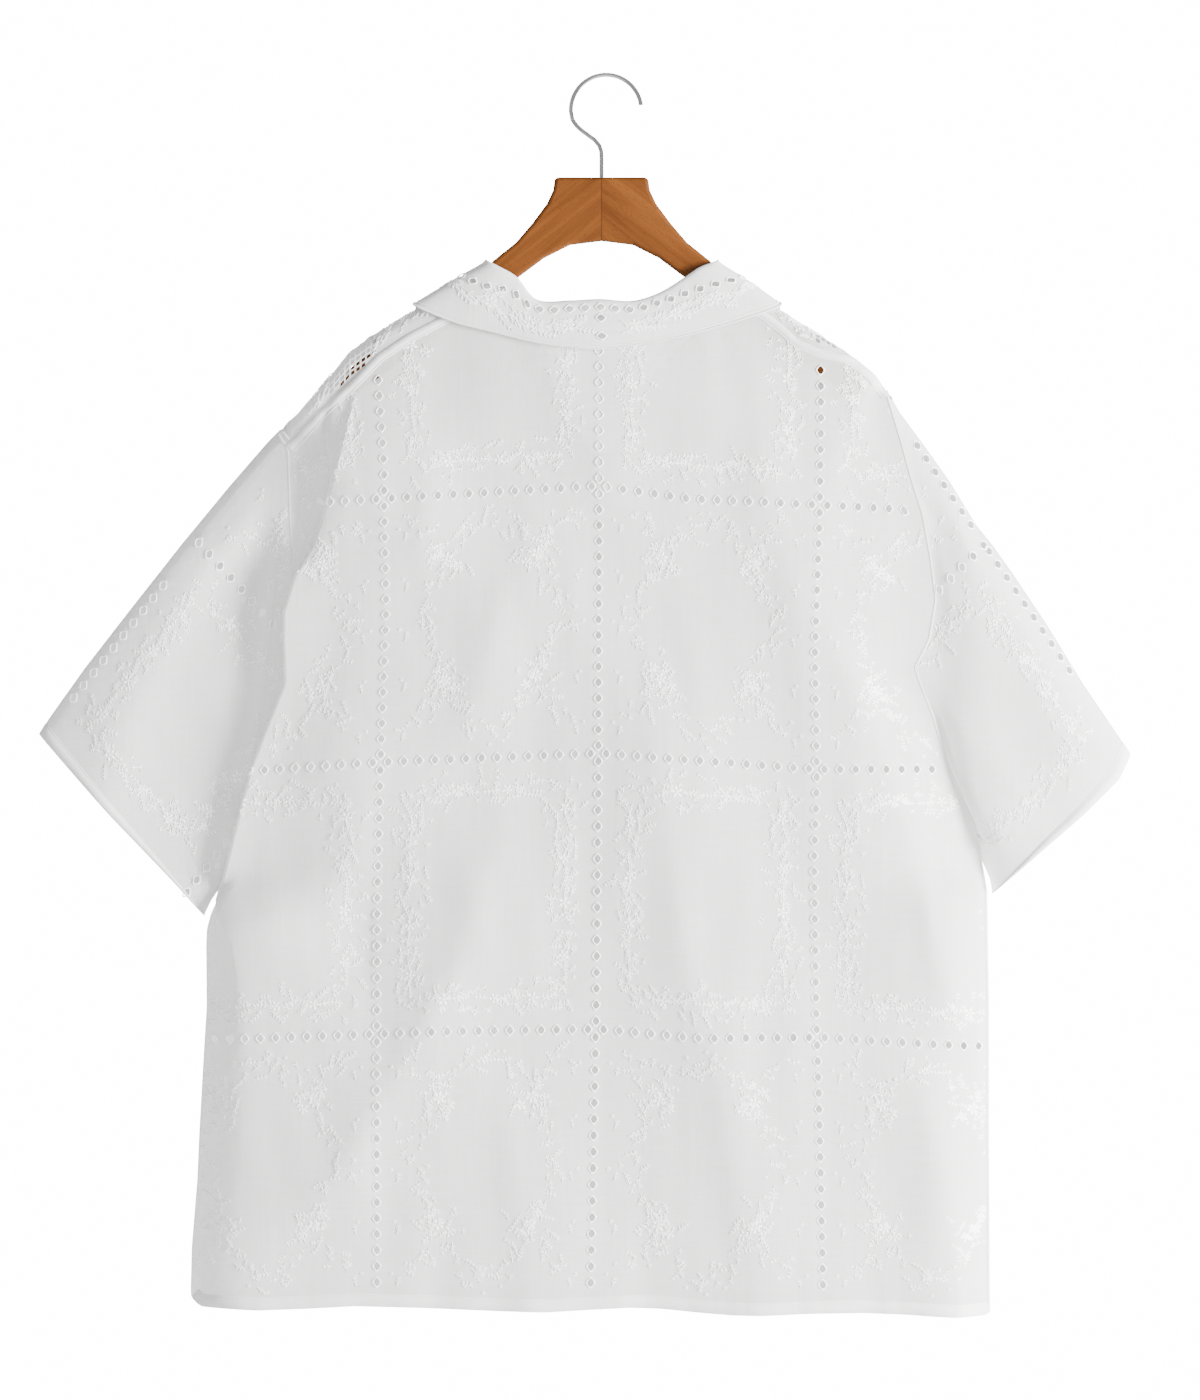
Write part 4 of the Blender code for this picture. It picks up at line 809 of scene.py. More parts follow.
def cloth_material(name, turn, thin, through, pale=1.0):
    """Gauzy cotton: fine weave, drawn-up streaks along the grain, a little see-through."""
    m = Nodes(name)
    streak = m.add("ShaderNodeTexNoise", Scale=1.0, Detail=3.0, Roughness=0.6)
    m.link(coordinates(m, (260.0, 90.0, 14.0), turn), streak.inputs["Vector"])
    slub = m.add("ShaderNodeTexNoise", Scale=1.0, Detail=2.0, Roughness=0.5)
    m.link(coordinates(m, (34.0, 34.0, 330.0), turn), slub.inputs["Vector"])
    cloud = m.add("ShaderNodeTexNoise", Scale=22.0, Detail=2.0, Roughness=0.5)
    m.link(coordinates(m, (1.0, 1.0, 1.0), turn), cloud.inputs["Vector"])
    level = m.add("ShaderNodeTexNoise", Scale=1.0, Detail=1.0, Roughness=0.4)
    m.link(coordinates(m, (30.0, 30.0, 300.0), turn), level.inputs["Vector"])
    where = m.add("ShaderNodeTexWave", Scale=1.0, Distortion=0.0, Detail=0.0)
    where.bands_direction = "X"
    where.inputs["Phase Offset"].default_value = math.pi
    m.link(coordinates(m, (math.pi * 0.1 / 0.16, 1.0, 1.0), turn), where.inputs["Vector"])
    patchy = m.add("ShaderNodeMath", _operation="MULTIPLY")
    m.link(level.outputs["Fac"], patchy.inputs[0])
    m.link(where.outputs["Fac"], patchy.inputs[1])
    warp = m.add("ShaderNodeTexWave", Scale=1.0, Distortion=0.8, Detail=1.0)
    warp.bands_direction = "X"
    m.link(coordinates(m, (420.0, 420.0, 420.0), turn), warp.inputs["Vector"])
    weft = m.add("ShaderNodeTexWave", Scale=1.0, Distortion=0.8, Detail=1.0)
    weft.bands_direction = "Z"
    m.link(coordinates(m, (420.0, 420.0, 420.0), turn), weft.inputs["Vector"])
    weave = m.add("ShaderNodeMath", _operation="MULTIPLY")
    m.link(warp.outputs["Fac"], weave.inputs[0])
    m.link(weft.outputs["Fac"], weave.inputs[1])
    both = m.add("ShaderNodeMath", _operation="MULTIPLY_ADD")
    m.link(streak.outputs["Fac"], both.inputs[0])
    both.inputs[1].default_value = 1.3
    m.link(weave.outputs[0], both.inputs[2])
    more = m.add("ShaderNodeMath", _operation="MULTIPLY_ADD")
    m.link(slub.outputs["Fac"], more.inputs[0])
    more.inputs[1].default_value = 1.6
    m.link(both.outputs[0], more.inputs[2])
    crinkle = m.add("ShaderNodeMath", _operation="MULTIPLY_ADD")
    m.link(patchy.outputs[0], crinkle.inputs[0])
    crinkle.inputs[1].default_value = 3.0
    m.link(more.outputs[0], crinkle.inputs[2])
    bump = m.add("ShaderNodeBump", Strength=0.40, Distance=0.0006)
    m.link(crinkle.outputs[0], bump.inputs["Height"])
    ramp = m.add("ShaderNodeMapRange")
    m.link(streak.outputs["Fac"], ramp.inputs["Value"])
    ramp.inputs["From Min"].default_value, ramp.inputs["From Max"].default_value = 0.3, 0.7
    ramp.inputs["To Min"].default_value, ramp.inputs["To Max"].default_value = 0.0, 1.0
    tone = m.add("ShaderNodeMix", _data_type="RGBA")
    m.link(ramp.outputs["Result"], tone.inputs["Factor"])
    # pale scales the whole tone; below 1 it is painted shade, a darker copy of the cloth for a piece in dimmer light
    tone.inputs["A"].default_value = (0.718 * pale, 0.718 * pale, 0.714 * pale, 1.0)
    tone.inputs["B"].default_value = (0.756 * pale, 0.756 * pale, 0.752 * pale, 1.0)
    tone2 = m.add("ShaderNodeMix", _data_type="RGBA")
    tone2.inputs["Factor"].default_value = 0.25
    m.link(cloud.outputs["Fac"], tone2.inputs["Factor"])
    m.link(tone.outputs["Result"], tone2.inputs["A"])
    tone2.inputs["B"].default_value = (0.733 * pale, 0.734 * pale, 0.730 * pale, 1.0)
    b = m.add("ShaderNodeBsdfPrincipled", Roughness=0.82)
    b.inputs["Specular IOR Level"].default_value = 0.25
    b.inputs["Sheen Weight"].default_value = 0.12
    b.inputs["Sheen Roughness"].default_value = 0.5
    m.link(tone2.outputs["Result"], b.inputs["Base Color"])
    m.link(bump.outputs["Normal"], b.inputs["Normal"])
    tr = m.add("ShaderNodeBsdfTranslucent")
    m.link(tone2.outputs["Result"], tr.inputs["Color"])
    m.link(bump.outputs["Normal"], tr.inputs["Normal"])
    mix = m.add("ShaderNodeMixShader", Fac=through)
    m.link(b.outputs[0], mix.inputs[1])
    m.link(tr.outputs[0], mix.inputs[2])
    clear = m.add("ShaderNodeBsdfTransparent")
    gap = m.add("ShaderNodeMapRange")
    m.link(more.outputs[0], gap.inputs["Value"])
    gap.inputs["From Min"].default_value, gap.inputs["From Max"].default_value = 1.3, 3.1
    gap.inputs["To Min"].default_value, gap.inputs["To Max"].default_value = thin + 0.05, max(thin - 0.05, 0.0)
    last = m.add("ShaderNodeMixShader")
    m.link(gap.outputs["Result"], last.inputs["Fac"])
    m.link(mix.outputs[0], last.inputs[1])
    m.link(clear.outputs[0], last.inputs[2])
    m.link(last.outputs[0], m.out.inputs["Surface"])
    return m.mat


def thread_material(name, color=(0.93, 0.93, 0.925), stitch=520.0):
    """Satin stitch: lustrous white thread laid side by side."""
    m = Nodes(name)
    wave = m.add("ShaderNodeTexWave", Scale=1.0, Distortion=3.0, Detail=2.0)
    wave.bands_direction = "DIAGONAL"
    m.link(coordinates(m, (stitch, stitch, stitch)), wave.inputs["Vector"])
    noise = m.add("ShaderNodeTexNoise", Scale=180.0, Detail=2.0)
    m.link(coordinates(m, (1.0, 1.0, 1.0)), noise.inputs["Vector"])
    tone = m.add("ShaderNodeMix", _data_type="RGBA")
    m.link(noise.outputs["Fac"], tone.inputs["Factor"])
    tone.inputs["A"].default_value = (color[0] - 0.03, color[1] - 0.03, color[2] - 0.03, 1.0)
    tone.inputs["B"].default_value = (*color, 1.0)
    bump = m.add("ShaderNodeBump", Strength=0.35, Distance=0.0002)
    m.link(wave.outputs["Fac"], bump.inputs["Height"])
    b = m.add("ShaderNodeBsdfPrincipled", Roughness=0.55)
    b.inputs["Sheen Weight"].default_value = 0.2
    m.link(tone.outputs["Result"], b.inputs["Base Color"])
    m.link(bump.outputs["Normal"], b.inputs["Normal"])
    tr = m.add("ShaderNodeBsdfTranslucent")
    m.link(tone.outputs["Result"], tr.inputs["Color"])
    mix = m.add("ShaderNodeMixShader", Fac=0.18)
    m.link(b.outputs[0], mix.inputs[1])
    m.link(tr.outputs[0], mix.inputs[2])
    m.link(mix.outputs[0], m.out.inputs["Surface"])
    return m.mat


def wood_material(name):
    """Stained beech: grain along each arm, mirrored at the middle, with short flecks."""
    m = Nodes(name)
    tc = m.add("ShaderNodeTexCoord")
    sep = m.add("ShaderNodeSeparateXYZ")
    m.link(tc.outputs["Object"], sep.inputs[0])
    off = m.add("ShaderNodeMath", _operation="ADD")
    m.link(sep.outputs["X"], off.inputs[0])
    off.inputs[1].default_value = -CENTRE_X * MM
    mirror = m.add("ShaderNodeMath", _operation="ABSOLUTE")
    m.link(off.outputs[0], mirror.inputs[0])
    side = m.add("ShaderNodeMath", _operation="SIGN")
    m.link(off.outputs[0], side.inputs[0])
    shift = m.add("ShaderNodeMath", _operation="MULTIPLY_ADD")
    m.link(side.outputs[0], shift.inputs[0])
    shift.inputs[1].default_value = 0.021
    m.link(sep.outputs["Y"], shift.inputs[2])
    comb = m.add("ShaderNodeCombineXYZ")
    m.link(mirror.outputs[0], comb.inputs["X"])
    m.link(shift.outputs[0], comb.inputs["Y"])
    m.link(sep.outputs["Z"], comb.inputs["Z"])
    turn = m.add("ShaderNodeMapping")
    turn.inputs["Rotation"].default_value = (0.0, math.radians(-38.0), 0.0)
    m.link(comb.outputs[0], turn.inputs["Vector"])

    def scaled(s):
        n = m.add("ShaderNodeMapping")
        n.inputs["Scale"].default_value = s
        m.link(turn.outputs["Vector"], n.inputs["Vector"])
        return n.outputs["Vector"]
    rings = m.add("ShaderNodeTexNoise", Scale=1.0, Detail=3.0, Roughness=0.55, Distortion=0.6)
    m.link(scaled((7.0, 120.0, 120.0)), rings.inputs["Vector"])
    fibre = m.add("ShaderNodeTexNoise", Scale=1.0, Detail=4.0, Roughness=0.7)
    m.link(scaled((45.0, 1400.0, 1400.0)), fibre.inputs["Vector"])
    fleck = m.add("ShaderNodeTexNoise", Scale=1.0, Detail=1.0, Roughness=0.4)
    m.link(scaled((420.0, 1700.0, 1700.0)), fleck.inputs["Vector"])
    ramp = m.add("ShaderNodeValToRGB")
    ramp.color_ramp.elements[0].position, ramp.color_ramp.elements[0].color = 0.30, (0.053, 0.0156, 0.0027, 1)
    ramp.color_ramp.elements[1].position, ramp.color_ramp.elements[1].color = 0.72, (0.104, 0.0330, 0.0058, 1)
    m.link(rings.outputs["Fac"], ramp.inputs["Fac"])
    dark = m.add("ShaderNodeMapRange")
    m.link(fleck.outputs["Fac"], dark.inputs["Value"])
    dark.inputs["From Min"].default_value, dark.inputs["From Max"].default_value = 0.62, 0.72
    dark.inputs["To Min"].default_value, dark.inputs["To Max"].default_value = 0.0, 0.5
    c1 = m.add("ShaderNodeMix", _data_type="RGBA")
    m.link(dark.outputs["Result"], c1.inputs["Factor"])
    m.link(ramp.outputs["Color"], c1.inputs["A"])
    c1.inputs["B"].default_value = (0.045, 0.009, 0.001, 1.0)
    c2 = m.add("ShaderNodeMix", _data_type="RGBA", _blend_type="MULTIPLY")
    c2.inputs["Factor"].default_value = 0.5
    m.link(c1.outputs["Result"], c2.inputs["A"])
    fr = m.add("ShaderNodeMapRange")
    m.link(fibre.outputs["Fac"], fr.inputs["Value"])
    fr.inputs["From Min"].default_value, fr.inputs["From Max"].default_value = 0.3, 0.7
    fr.inputs["To Min"].default_value, fr.inputs["To Max"].default_value = 0.72, 1.12
    m.link(fr.outputs["Result"], c2.inputs["B"])
    joint = m.add("ShaderNodeMapRange")
    m.link(mirror.outputs[0], joint.inputs["Value"])
    joint.inputs["From Min"].default_value, joint.inputs["From Max"].default_value = 0.00015, 0.0006
    joint.inputs["To Min"].default_value, joint.inputs["To Max"].default_value = 0.55, 1.0
    c3 = m.add("ShaderNodeMix", _data_type="RGBA", _blend_type="MULTIPLY")
    c3.inputs["Factor"].default_value = 1.0
    m.link(c2.outputs["Result"], c3.inputs["A"])
    m.link(joint.outputs["Result"], c3.inputs["B"])
    bump = m.add("ShaderNodeBump", Strength=0.18, Distance=0.0003)
    m.link(fibre.outputs["Fac"], bump.inputs["Height"])
    rough = m.add("ShaderNodeMapRange")
    m.link(rings.outputs["Fac"], rough.inputs["Value"])
    rough.inputs["To Min"].default_value, rough.inputs["To Max"].default_value = 0.40, 0.56
    b = m.add("ShaderNodeBsdfPrincipled")
    b.inputs["Specular IOR Level"].default_value = 0.07
    m.link(rough.outputs["Result"], b.inputs["Roughness"])
    m.link(c3.outputs["Result"], b.inputs["Base Color"])
    m.link(bump.outputs["Normal"], b.inputs["Normal"])
    m.link(b.outputs[0], m.out.inputs["Surface"])
    return m.mat


def chrome_material(name):
    m = Nodes(name)
    n = m.add("ShaderNodeTexNoise", Scale=900.0, Detail=2.0)
    m.link(coordinates(m, (1.0, 1.0, 1.0)), n.inputs["Vector"])
    r = m.add("ShaderNodeMapRange")
    m.link(n.outputs["Fac"], r.inputs["Value"])
    r.inputs["To Min"].default_value, r.inputs["To Max"].default_value = 0.05, 0.16
    c = m.add("ShaderNodeMix", _data_type="RGBA")
    m.link(n.outputs["Fac"], c.inputs["Factor"])
    c.inputs["A"].default_value = (0.46, 0.465, 0.475, 1.0)
    c.inputs["B"].default_value = (0.58, 0.58, 0.59, 1.0)
    b = m.add("ShaderNodeBsdfPrincipled", Metallic=1.0)
    m.link(c.outputs["Result"], b.inputs["Base Color"])
    m.link(r.outputs["Result"], b.inputs["Roughness"])
    m.link(b.outputs[0], m.out.inputs["Surface"])
    return m.mat


def button_material(name):
    """Pale shell-like plastic with a faint cloud in it."""
    m = Nodes(name)
    n = m.add("ShaderNodeTexNoise", Scale=140.0, Detail=3.0, Distortion=1.2)
    m.link(coordinates(m, (1.0, 1.0, 2.2)), n.inputs["Vector"])
    c = m.add("ShaderNodeMix", _data_type="RGBA")
    m.link(n.outputs["Fac"], c.inputs["Factor"])
    c.inputs["A"].default_value = (0.74, 0.72, 0.68, 1.0)
    c.inputs["B"].default_value = (0.90, 0.89, 0.87, 1.0)
    b = m.add("ShaderNodeBsdfPrincipled", Roughness=0.25)
    b.inputs["Coat Weight"].default_value = 0.3
    m.link(c.outputs["Result"], b.inputs["Base Color"])
    bump = m.add("ShaderNodeBump", Strength=0.1, Distance=0.0002)
    m.link(n.outputs["Fac"], bump.inputs["Height"])
    m.link(bump.outputs["Normal"], b.inputs["Normal"])
    m.link(b.outputs[0], m.out.inputs["Surface"])
    return m.mat


VOILE = cloth_material("cotton_voile", 0.0, 0.20, 0.30)
VOILE_LEFT = cloth_material("cotton_voile_sleeve_left", math.radians(-38.0), 0.16, 0.30)
VOILE_RIGHT = cloth_material("cotton_voile_sleeve_right", math.radians(34.0), 0.16, 0.30)
# the collar's double cloth is less see-through, and its tone is scaled by 0.93: painted shade for the dimmer light on
# the collar
DOUBLE_PAINTED_SHADE = cloth_material("cotton_double_painted_shade", 0.0, 0.06, 0.16, 0.93)
THREADS = thread_material("white_thread")
EDGING = cloth_material("cotton_hem", 0.0, 0.03, 0.20)

# ---------------------------------------------------------------- back
def back_surface(a, z):
    a, z = np.asarray(a, float), np.asarray(z, float)
    p = back_point(a, z)
    x, t, x0 = fold_x(a, z)
    _, e = body_depth(x, z, BACK_LEFT, BACK_RIGHT)
    quiet = smooth(e * 1.5) * smooth((t < 0.0) * np.clip(-t / 0.3, 0, 1)) * smooth((table(SHOULDER, x, 1) - z) / 60.0)
    p = p.copy()
    p[..., 1] += fine(x, z) * quiet
    return p


def fixed(fn, start, n=40):
    z = start
    for _ in range(n):
        z = 0.55 * z + 0.45 * fn(z)
    return z


def back_outline():
    lo = lambda z: table(BACK_LEFT, z) + SEAM_GAP * 0.5 - table(FOLD, z, 2)
    hi = lambda z: table(BACK_RIGHT, z) - SEAM_GAP * 0.5
    zb0 = fixed(lambda z: float(table(HEM, lo(z))), -905.0)
    zb1 = fixed(lambda z: float(table(HEM, hi(z))), -905.0)
    zt0 = fixed(lambda z: float(table(BACK_TOP, fold_x(lo(z), z)[0])), -270.0)
    zt1 = fixed(lambda z: float(table(BACK_TOP, hi(z))), -235.0)
    left = [(lo(z), z) for z in np.linspace(zt0, zb0, 220)]
    bottom = [(a, float(table(HEM, a))) for a in np.linspace(lo(zb0), hi(zb1), 160)]
    right = [(hi(z), z) for z in np.linspace(zb1, zt1, 220)]
    top = []
    for a in np.linspace(hi(zt1), lo(zt0), 160):
        top.append((a, fixed(lambda z: float(table(BACK_TOP, fold_x(a, z)[0])), -220.0)))
    return left, bottom, right, top


BL, BB, BR, BT = back_outline()
back_poly = outline([BL, BB, BR, BT])
BACK_SURF = Surface(back_surface, 1.0)
eyes = pattern_eyelets(-335.0, 290.0, -896.0, -190.0)
ea, ez = warp_back(eyes[:, 0], eyes[:, 1])
ok = well_inside(np.stack([ea, ez], -1), back_poly, 5.5)
eyes = eyes[ok]
holes = [np.stack(warp_back(*eyelet_loop(x, y).T), -1) for x, y in eyes]


def fold_band(g):
    x0 = table(FOLD, g[:, 1], 1)
    return (g[:, 0] > x0 - FOLD_LEN - 3) & (g[:, 0] < x0 + 5) & (g[:, 1] > -700.0) & (g[:, 1] < -230.0)


extra = np.array([(float(table(FOLD, z, 1)) + d, z) for z in np.arange(-700.0, -228.0, 3.4) for d in np.arange(-20.4, 5.0, 1.7)])
# above the front's opening the worked eyelets keep their ground, so that no paper shows through them: the uncut ground
# is a sheet standing in for the shade seen through the holes
holes = [h for h in holes if not (abs(h[:, 0].mean() - CENTRE_X) < 5.0 and h[:, 1].mean() > -316.0)]
v, f = cut_sheet(back_poly, holes, 4.9, extra, fold_band)
back_cloth = mesh_object("back_cloth", BACK_SURF.at(v[:, 0], v[:, 1]), f, VOILE)
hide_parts("back")
work = pattern_work(-335.0, 290.0, -190.0)
for x, y in eyes:
    work.eyelet(x, y)
back_work = work.build("back_embroidery", warp_back, BACK_SURF, back_poly, THREADS)
parts = [ribbon(BACK_SURF, BB, 9.5, 0.55), ribbon(BACK_SURF, [p for p in BT if p[0] > 99.0], 4.6, 0.8, 1.0, -2.0),
         ribbon(BACK_SURF, [p for p in BT if p[0] < -100.0], 4.6, 0.8, 1.0, -2.0), seam(BACK_SURF, BR, 1.5, 0.35)]
back_edges = joined("back_seams", parts, EDGING)

# ---------------------------------------------------------------- fronts
def front_surface(outer, inner, lap, sign):
    def at(x, v):
        x, v = np.asarray(x, float), np.asarray(v, float)
        top, ry, rz = table(SHOULDER, x, 1), table(SHOULDER, x, 2), table(SHOULDER, x, 3)
        zt = top - rz
        past = np.maximum(v - zt, 0.0)
        round_len = math.pi * (ry + rz) / 2.0
        turn = math.pi * np.clip(past / round_len, 0, 1)
        drop = np.maximum(past - round_len, 0.0)
        lo, hi = table(outer, zt), table(inner, zt)
        s = np.clip((x - lo) / (hi - lo), 0, 1)
        neck = sign * 5.2 * smooth((s - 0.8) / 0.2)
        edge = np.where(sign < 0, 6.0 * (1 - np.minimum(s / 0.09, 1.0)), 0.0)
        back = 0.45 + 0.55 * (np.sin(turn) if sign < 0 else 1.0)
        xs = x + neck * np.where(turn < math.pi / 2, np.sin(turn), back)
        tb, yb, zb = table(SHOULDER, xs, 1), table(SHOULDER, xs, 2), table(SHOULDER, xs, 3)
        over = np.maximum(0.0, (turn - math.pi / 2) / (math.pi / 2)) + drop / 12.0
        wrap = np.stack([xs + edge * over, yb * np.cos(turn), tb - zb + zb * np.sin(turn) - drop], -1)
        flat = front_point(x, np.minimum(v, zt), lap)
        _, e = body_depth(x, np.minimum(v, zt), FRONT_LEFT, FRONT_RIGHT)
        quiet = smooth(e * 1.5) * smooth((zt - v) / 60.0) * smooth((np.abs(x - CENTRE_X) - 24.0) / 30.0)
        flat = flat.copy()
        flat[..., 1] -= fine(x, v, 1.7) * quiet
        return np.where((past > 0)[..., None], wrap, flat)
    return at


def front_outline(outer, inner, sign):
    zt_of = lambda x: float(table(SHOULDER, x, 1) - table(SHOULDER, x, 3))
    zo = fixed(lambda z: zt_of(float(table(outer, z))), -250.0)
    zi = fixed(lambda z: zt_of(float(table(inner, z))), -170.0)
    xo, xi = float(table(outer, zo)), float(table(inner, zi))

    def end(x):
        s = (x - xo) / (xi - xo)
        top, rz, ry = float(table(SHOULDER, x, 1)), float(table(SHOULDER, x, 3)), float(table(SHOULDER, x, 2))
        edge = 6.0 * (1 - min(max(s, 0) / 0.09, 1.0)) if sign < 0 else 0.0
        xe = x + 1.4 * edge
        slope = float(table(BACK_TOP, xe + 3.0) - table(BACK_TOP, xe - 3.0)) / 6.0
        seam_z = float(table(BACK_TOP, xe)) + 1.7 * math.hypot(1.0, slope)
        ln = math.pi * (ry + rz) / 2.0
        if seam_z < top - rz:
            return (top - rz) + ln + (top - rz - seam_z)
        return (top - rz) + ln * (1 - math.asin(min(1.0, (seam_z - top + rz) / rz)) / math.pi)
    zb0 = fixed(lambda z: float(table(HEM, float(table(outer, z)))), -905.0)
    zb1 = fixed(lambda z: float(table(HEM, float(table(inner, z)))), -905.0)
    side = [(float(table(outer, z)), z) for z in np.linspace(zb0, zo, 240)]
    side += [(xo, z) for z in np.linspace(zo, end(xo), 8)[1:]]
    top = [(x, end(x)) for x in np.linspace(xo, xi, 80)]
    inn = [(xi, z) for z in np.linspace(end(xi), zi, 10)] + [(float(table(inner, z)), z) for z in np.linspace(zi, zb1, 260)[1:]]
    hem = [(x, float(table(HEM, x))) for x in np.linspace(float(table(inner, zb1)), float(table(outer, zb0)), 90)]
    return side, top, inn, hem


def lapel_rows(surf_at, inner, side, first, lap, rows=44, cols=12):
    """The turned-back corner along the roll line, as rows of points."""
    p0 = np.array([table(inner, -318.0), -318.0])
    p1 = np.array([table(inner, -215.0), -215.0])
    length = np.hypot(*(p1 - p0))
    d = (p1 - p0) / length
    n = np.array([side * abs(d[1]), -abs(d[0])])
    rise = abs(d[0]) / abs(d[1])
    out = []
    for z in np.linspace(-318.0 + first * d[1], -214.5, rows):
        x = float(table(inner, z))
        p = surf_at(np.float64(x), np.float64(z))
        r = (z + 318.0) / d[1]
        full = min(rise * r, max(4.0, 45.0 * (length - r) / (length - 84.0)))
        w = max(7.0, full * float(smooth((r - first + 14.0) / 22.0)))
        turn = math.pi * float(smooth(0.25 + 0.75 * (r - first) / 34.0))
        rho = 1.8
        line = [p]
        for u in np.linspace(0, 1, 6)[1:]:
            q = turn * u
            line.append(np.array([p[0] - n[0] * rho * math.sin(q), p[1] + rho * (1 - math.cos(q)), p[2] - n[1] * rho * math.sin(q)]))
        e = line[-1]
        for u in np.linspace(0, 1, cols)[1:]:
            dx, dy = -math.cos(turn) * w * u, math.sin(turn) * w * u
            x2, z2 = e[0] + n[0] * dx, e[2] + n[1] * dx
            lift = 0.0
            if turn > 2.6:
                lift = float(front_point(np.float64(x2), np.float64(z2), lap)[1] - front_point(np.float64(p[0]), np.float64(p[2]), lap)[1])
            line.append(np.array([x2, e[1] + dy + max(lift, 0.0) + 0.6 * u, z2]))
        out.append(line)
    return np.array(out)


FRONTS = {}
BACK_EYES = np.stack([fold_x(*warp_back(eyes[:, 0], eyes[:, 1]))[0], warp_back(eyes[:, 0], eyes[:, 1])[1]], -1)


def clear_of(points, others, gap=7.0):
    """True for points with none of the others within gap."""
    d = np.hypot(points[:, None, 0] - others[None, :, 0], points[:, None, 1] - others[None, :, 1])
    return d.min(1) > gap


for name, outer, inner, lap, sign, first in (("front_left", FRONT_LEFT, INNER_LEFT, -1.0, -1.0, 34.0),
                                             ("front_right", FRONT_RIGHT, INNER_RIGHT, 1.0, 1.0, 2.0)):
    at = front_surface(outer, inner, lap, sign)
    surf = Surface(at, -1.0)
    side, top, inn, hem = front_outline(outer, inner, sign)
    poly = outline([side, top, inn, hem])
    eyes = pattern_eyelets(-330.0 if sign < 0 else -20.0, 20.0 if sign < 0 else 330.0, -896.0, -190.0)
    eyes = np.concatenate([eyes, [(p, q) for p in (-160.0, 160.0) for q in np.arange(-104.0 - 5.9 - 11.76 * 8, -120.0, 11.76)]])
    ea, ez = warp_front(eyes[:, 0], eyes[:, 1])
    ok = well_inside(np.stack([ea, ez], -1), poly, 5.5) & (np.abs(ea - CENTRE_X) > 16.0) & clear_of(np.stack([ea, ez], -1), BACK_EYES) & \
        (np.abs(ez - table(SHOULDER, ea, 1)) > 9.0)
    eyes = eyes[ok]
    # squares of openwork where the shoulder turns to the back
    squares = []
    for i in range(11 if sign < 0 else 6):
        for j in range(6 if sign < 0 else 2):
            x = (-209.0 + 3.9 * i) if sign < 0 else (158.0 + 3.9 * i)
            zt = float(table(SHOULDER, x, 1) - table(SHOULDER, x, 3))
            v0 = zt + 21.5 + 4.0 * j
            c = np.array([x, v0])
            e1 = np.array([1.0, float(table(SHOULDER, x + 4, 1) - table(SHOULDER, x - 4, 1)) / 8.0])
            e2 = np.array([0.0, 1.0])
            squares.append(np.array([c - 1.35 * e1 - 1.35 * e2, c + 1.35 * e1 - 1.35 * e2, c + 1.35 * e1 + 1.35 * e2, c - 1.35 * e1 + 1.35 * e2]))
    squares = [s for s in squares if well_inside(s.mean(0)[None], poly, 3.0)[0]]
    cut = [np.stack(warp_front(*eyelet_loop(x, y).T), -1) for x, y in eyes]
    if squares:
        mids = np.array([s.mean(0) for s in squares])
        cut2, keep = [], []
        for h, e in zip(cut, eyes):
            far = np.hypot(*(mids - h.mean(0)).T).min() > 6.5
            keep.append(far)
            if far:
                cut2.append(h)
        cut, eyes = cut2, eyes[np.array(keep)]
    v, f = cut_sheet(poly, cut + squares, 4.8)
    P = at(v[:, 0], v[:, 1])
    lap_pts = lapel_rows(at, inner, sign, first, lap)
    nr, nc = lap_pts.shape[:2]
    i = (np.arange(nr - 1)[:, None] * nc + np.arange(nc - 1)[None]).ravel()
    quads = np.stack([i, i + 1, i + nc + 1, i + nc], -1) + len(P)
    lf = np.concatenate([quads[:, [0, 1, 2]], quads[:, [0, 2, 3]]])
    ob = mesh_object(name + "_cloth", np.concatenate([P, lap_pts.reshape(-1, 3)]), np.concatenate([f, lf]), VOILE)
    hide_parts(name)
    w = pattern_work(-330.0 if sign < 0 else -20.0, 20.0 if sign < 0 else 330.0, -150.0)
    for x, y in eyes:
        w.eyelet(x, y)
    emb = w.build(name + "_embroidery", warp_front, surf, poly, THREADS)
    band = [p for p in inn if p[1] < -330.0]
    parts = [ribbon(surf, hem, 9.5, 0.5, sign), ribbon(surf, band, 24.0, 0.5, sign), seam(surf, side, 1.5, 0.35)]
    edges = joined(name + "_seams", parts, EDGING)
    FRONTS[name] = (ob, emb, edges)

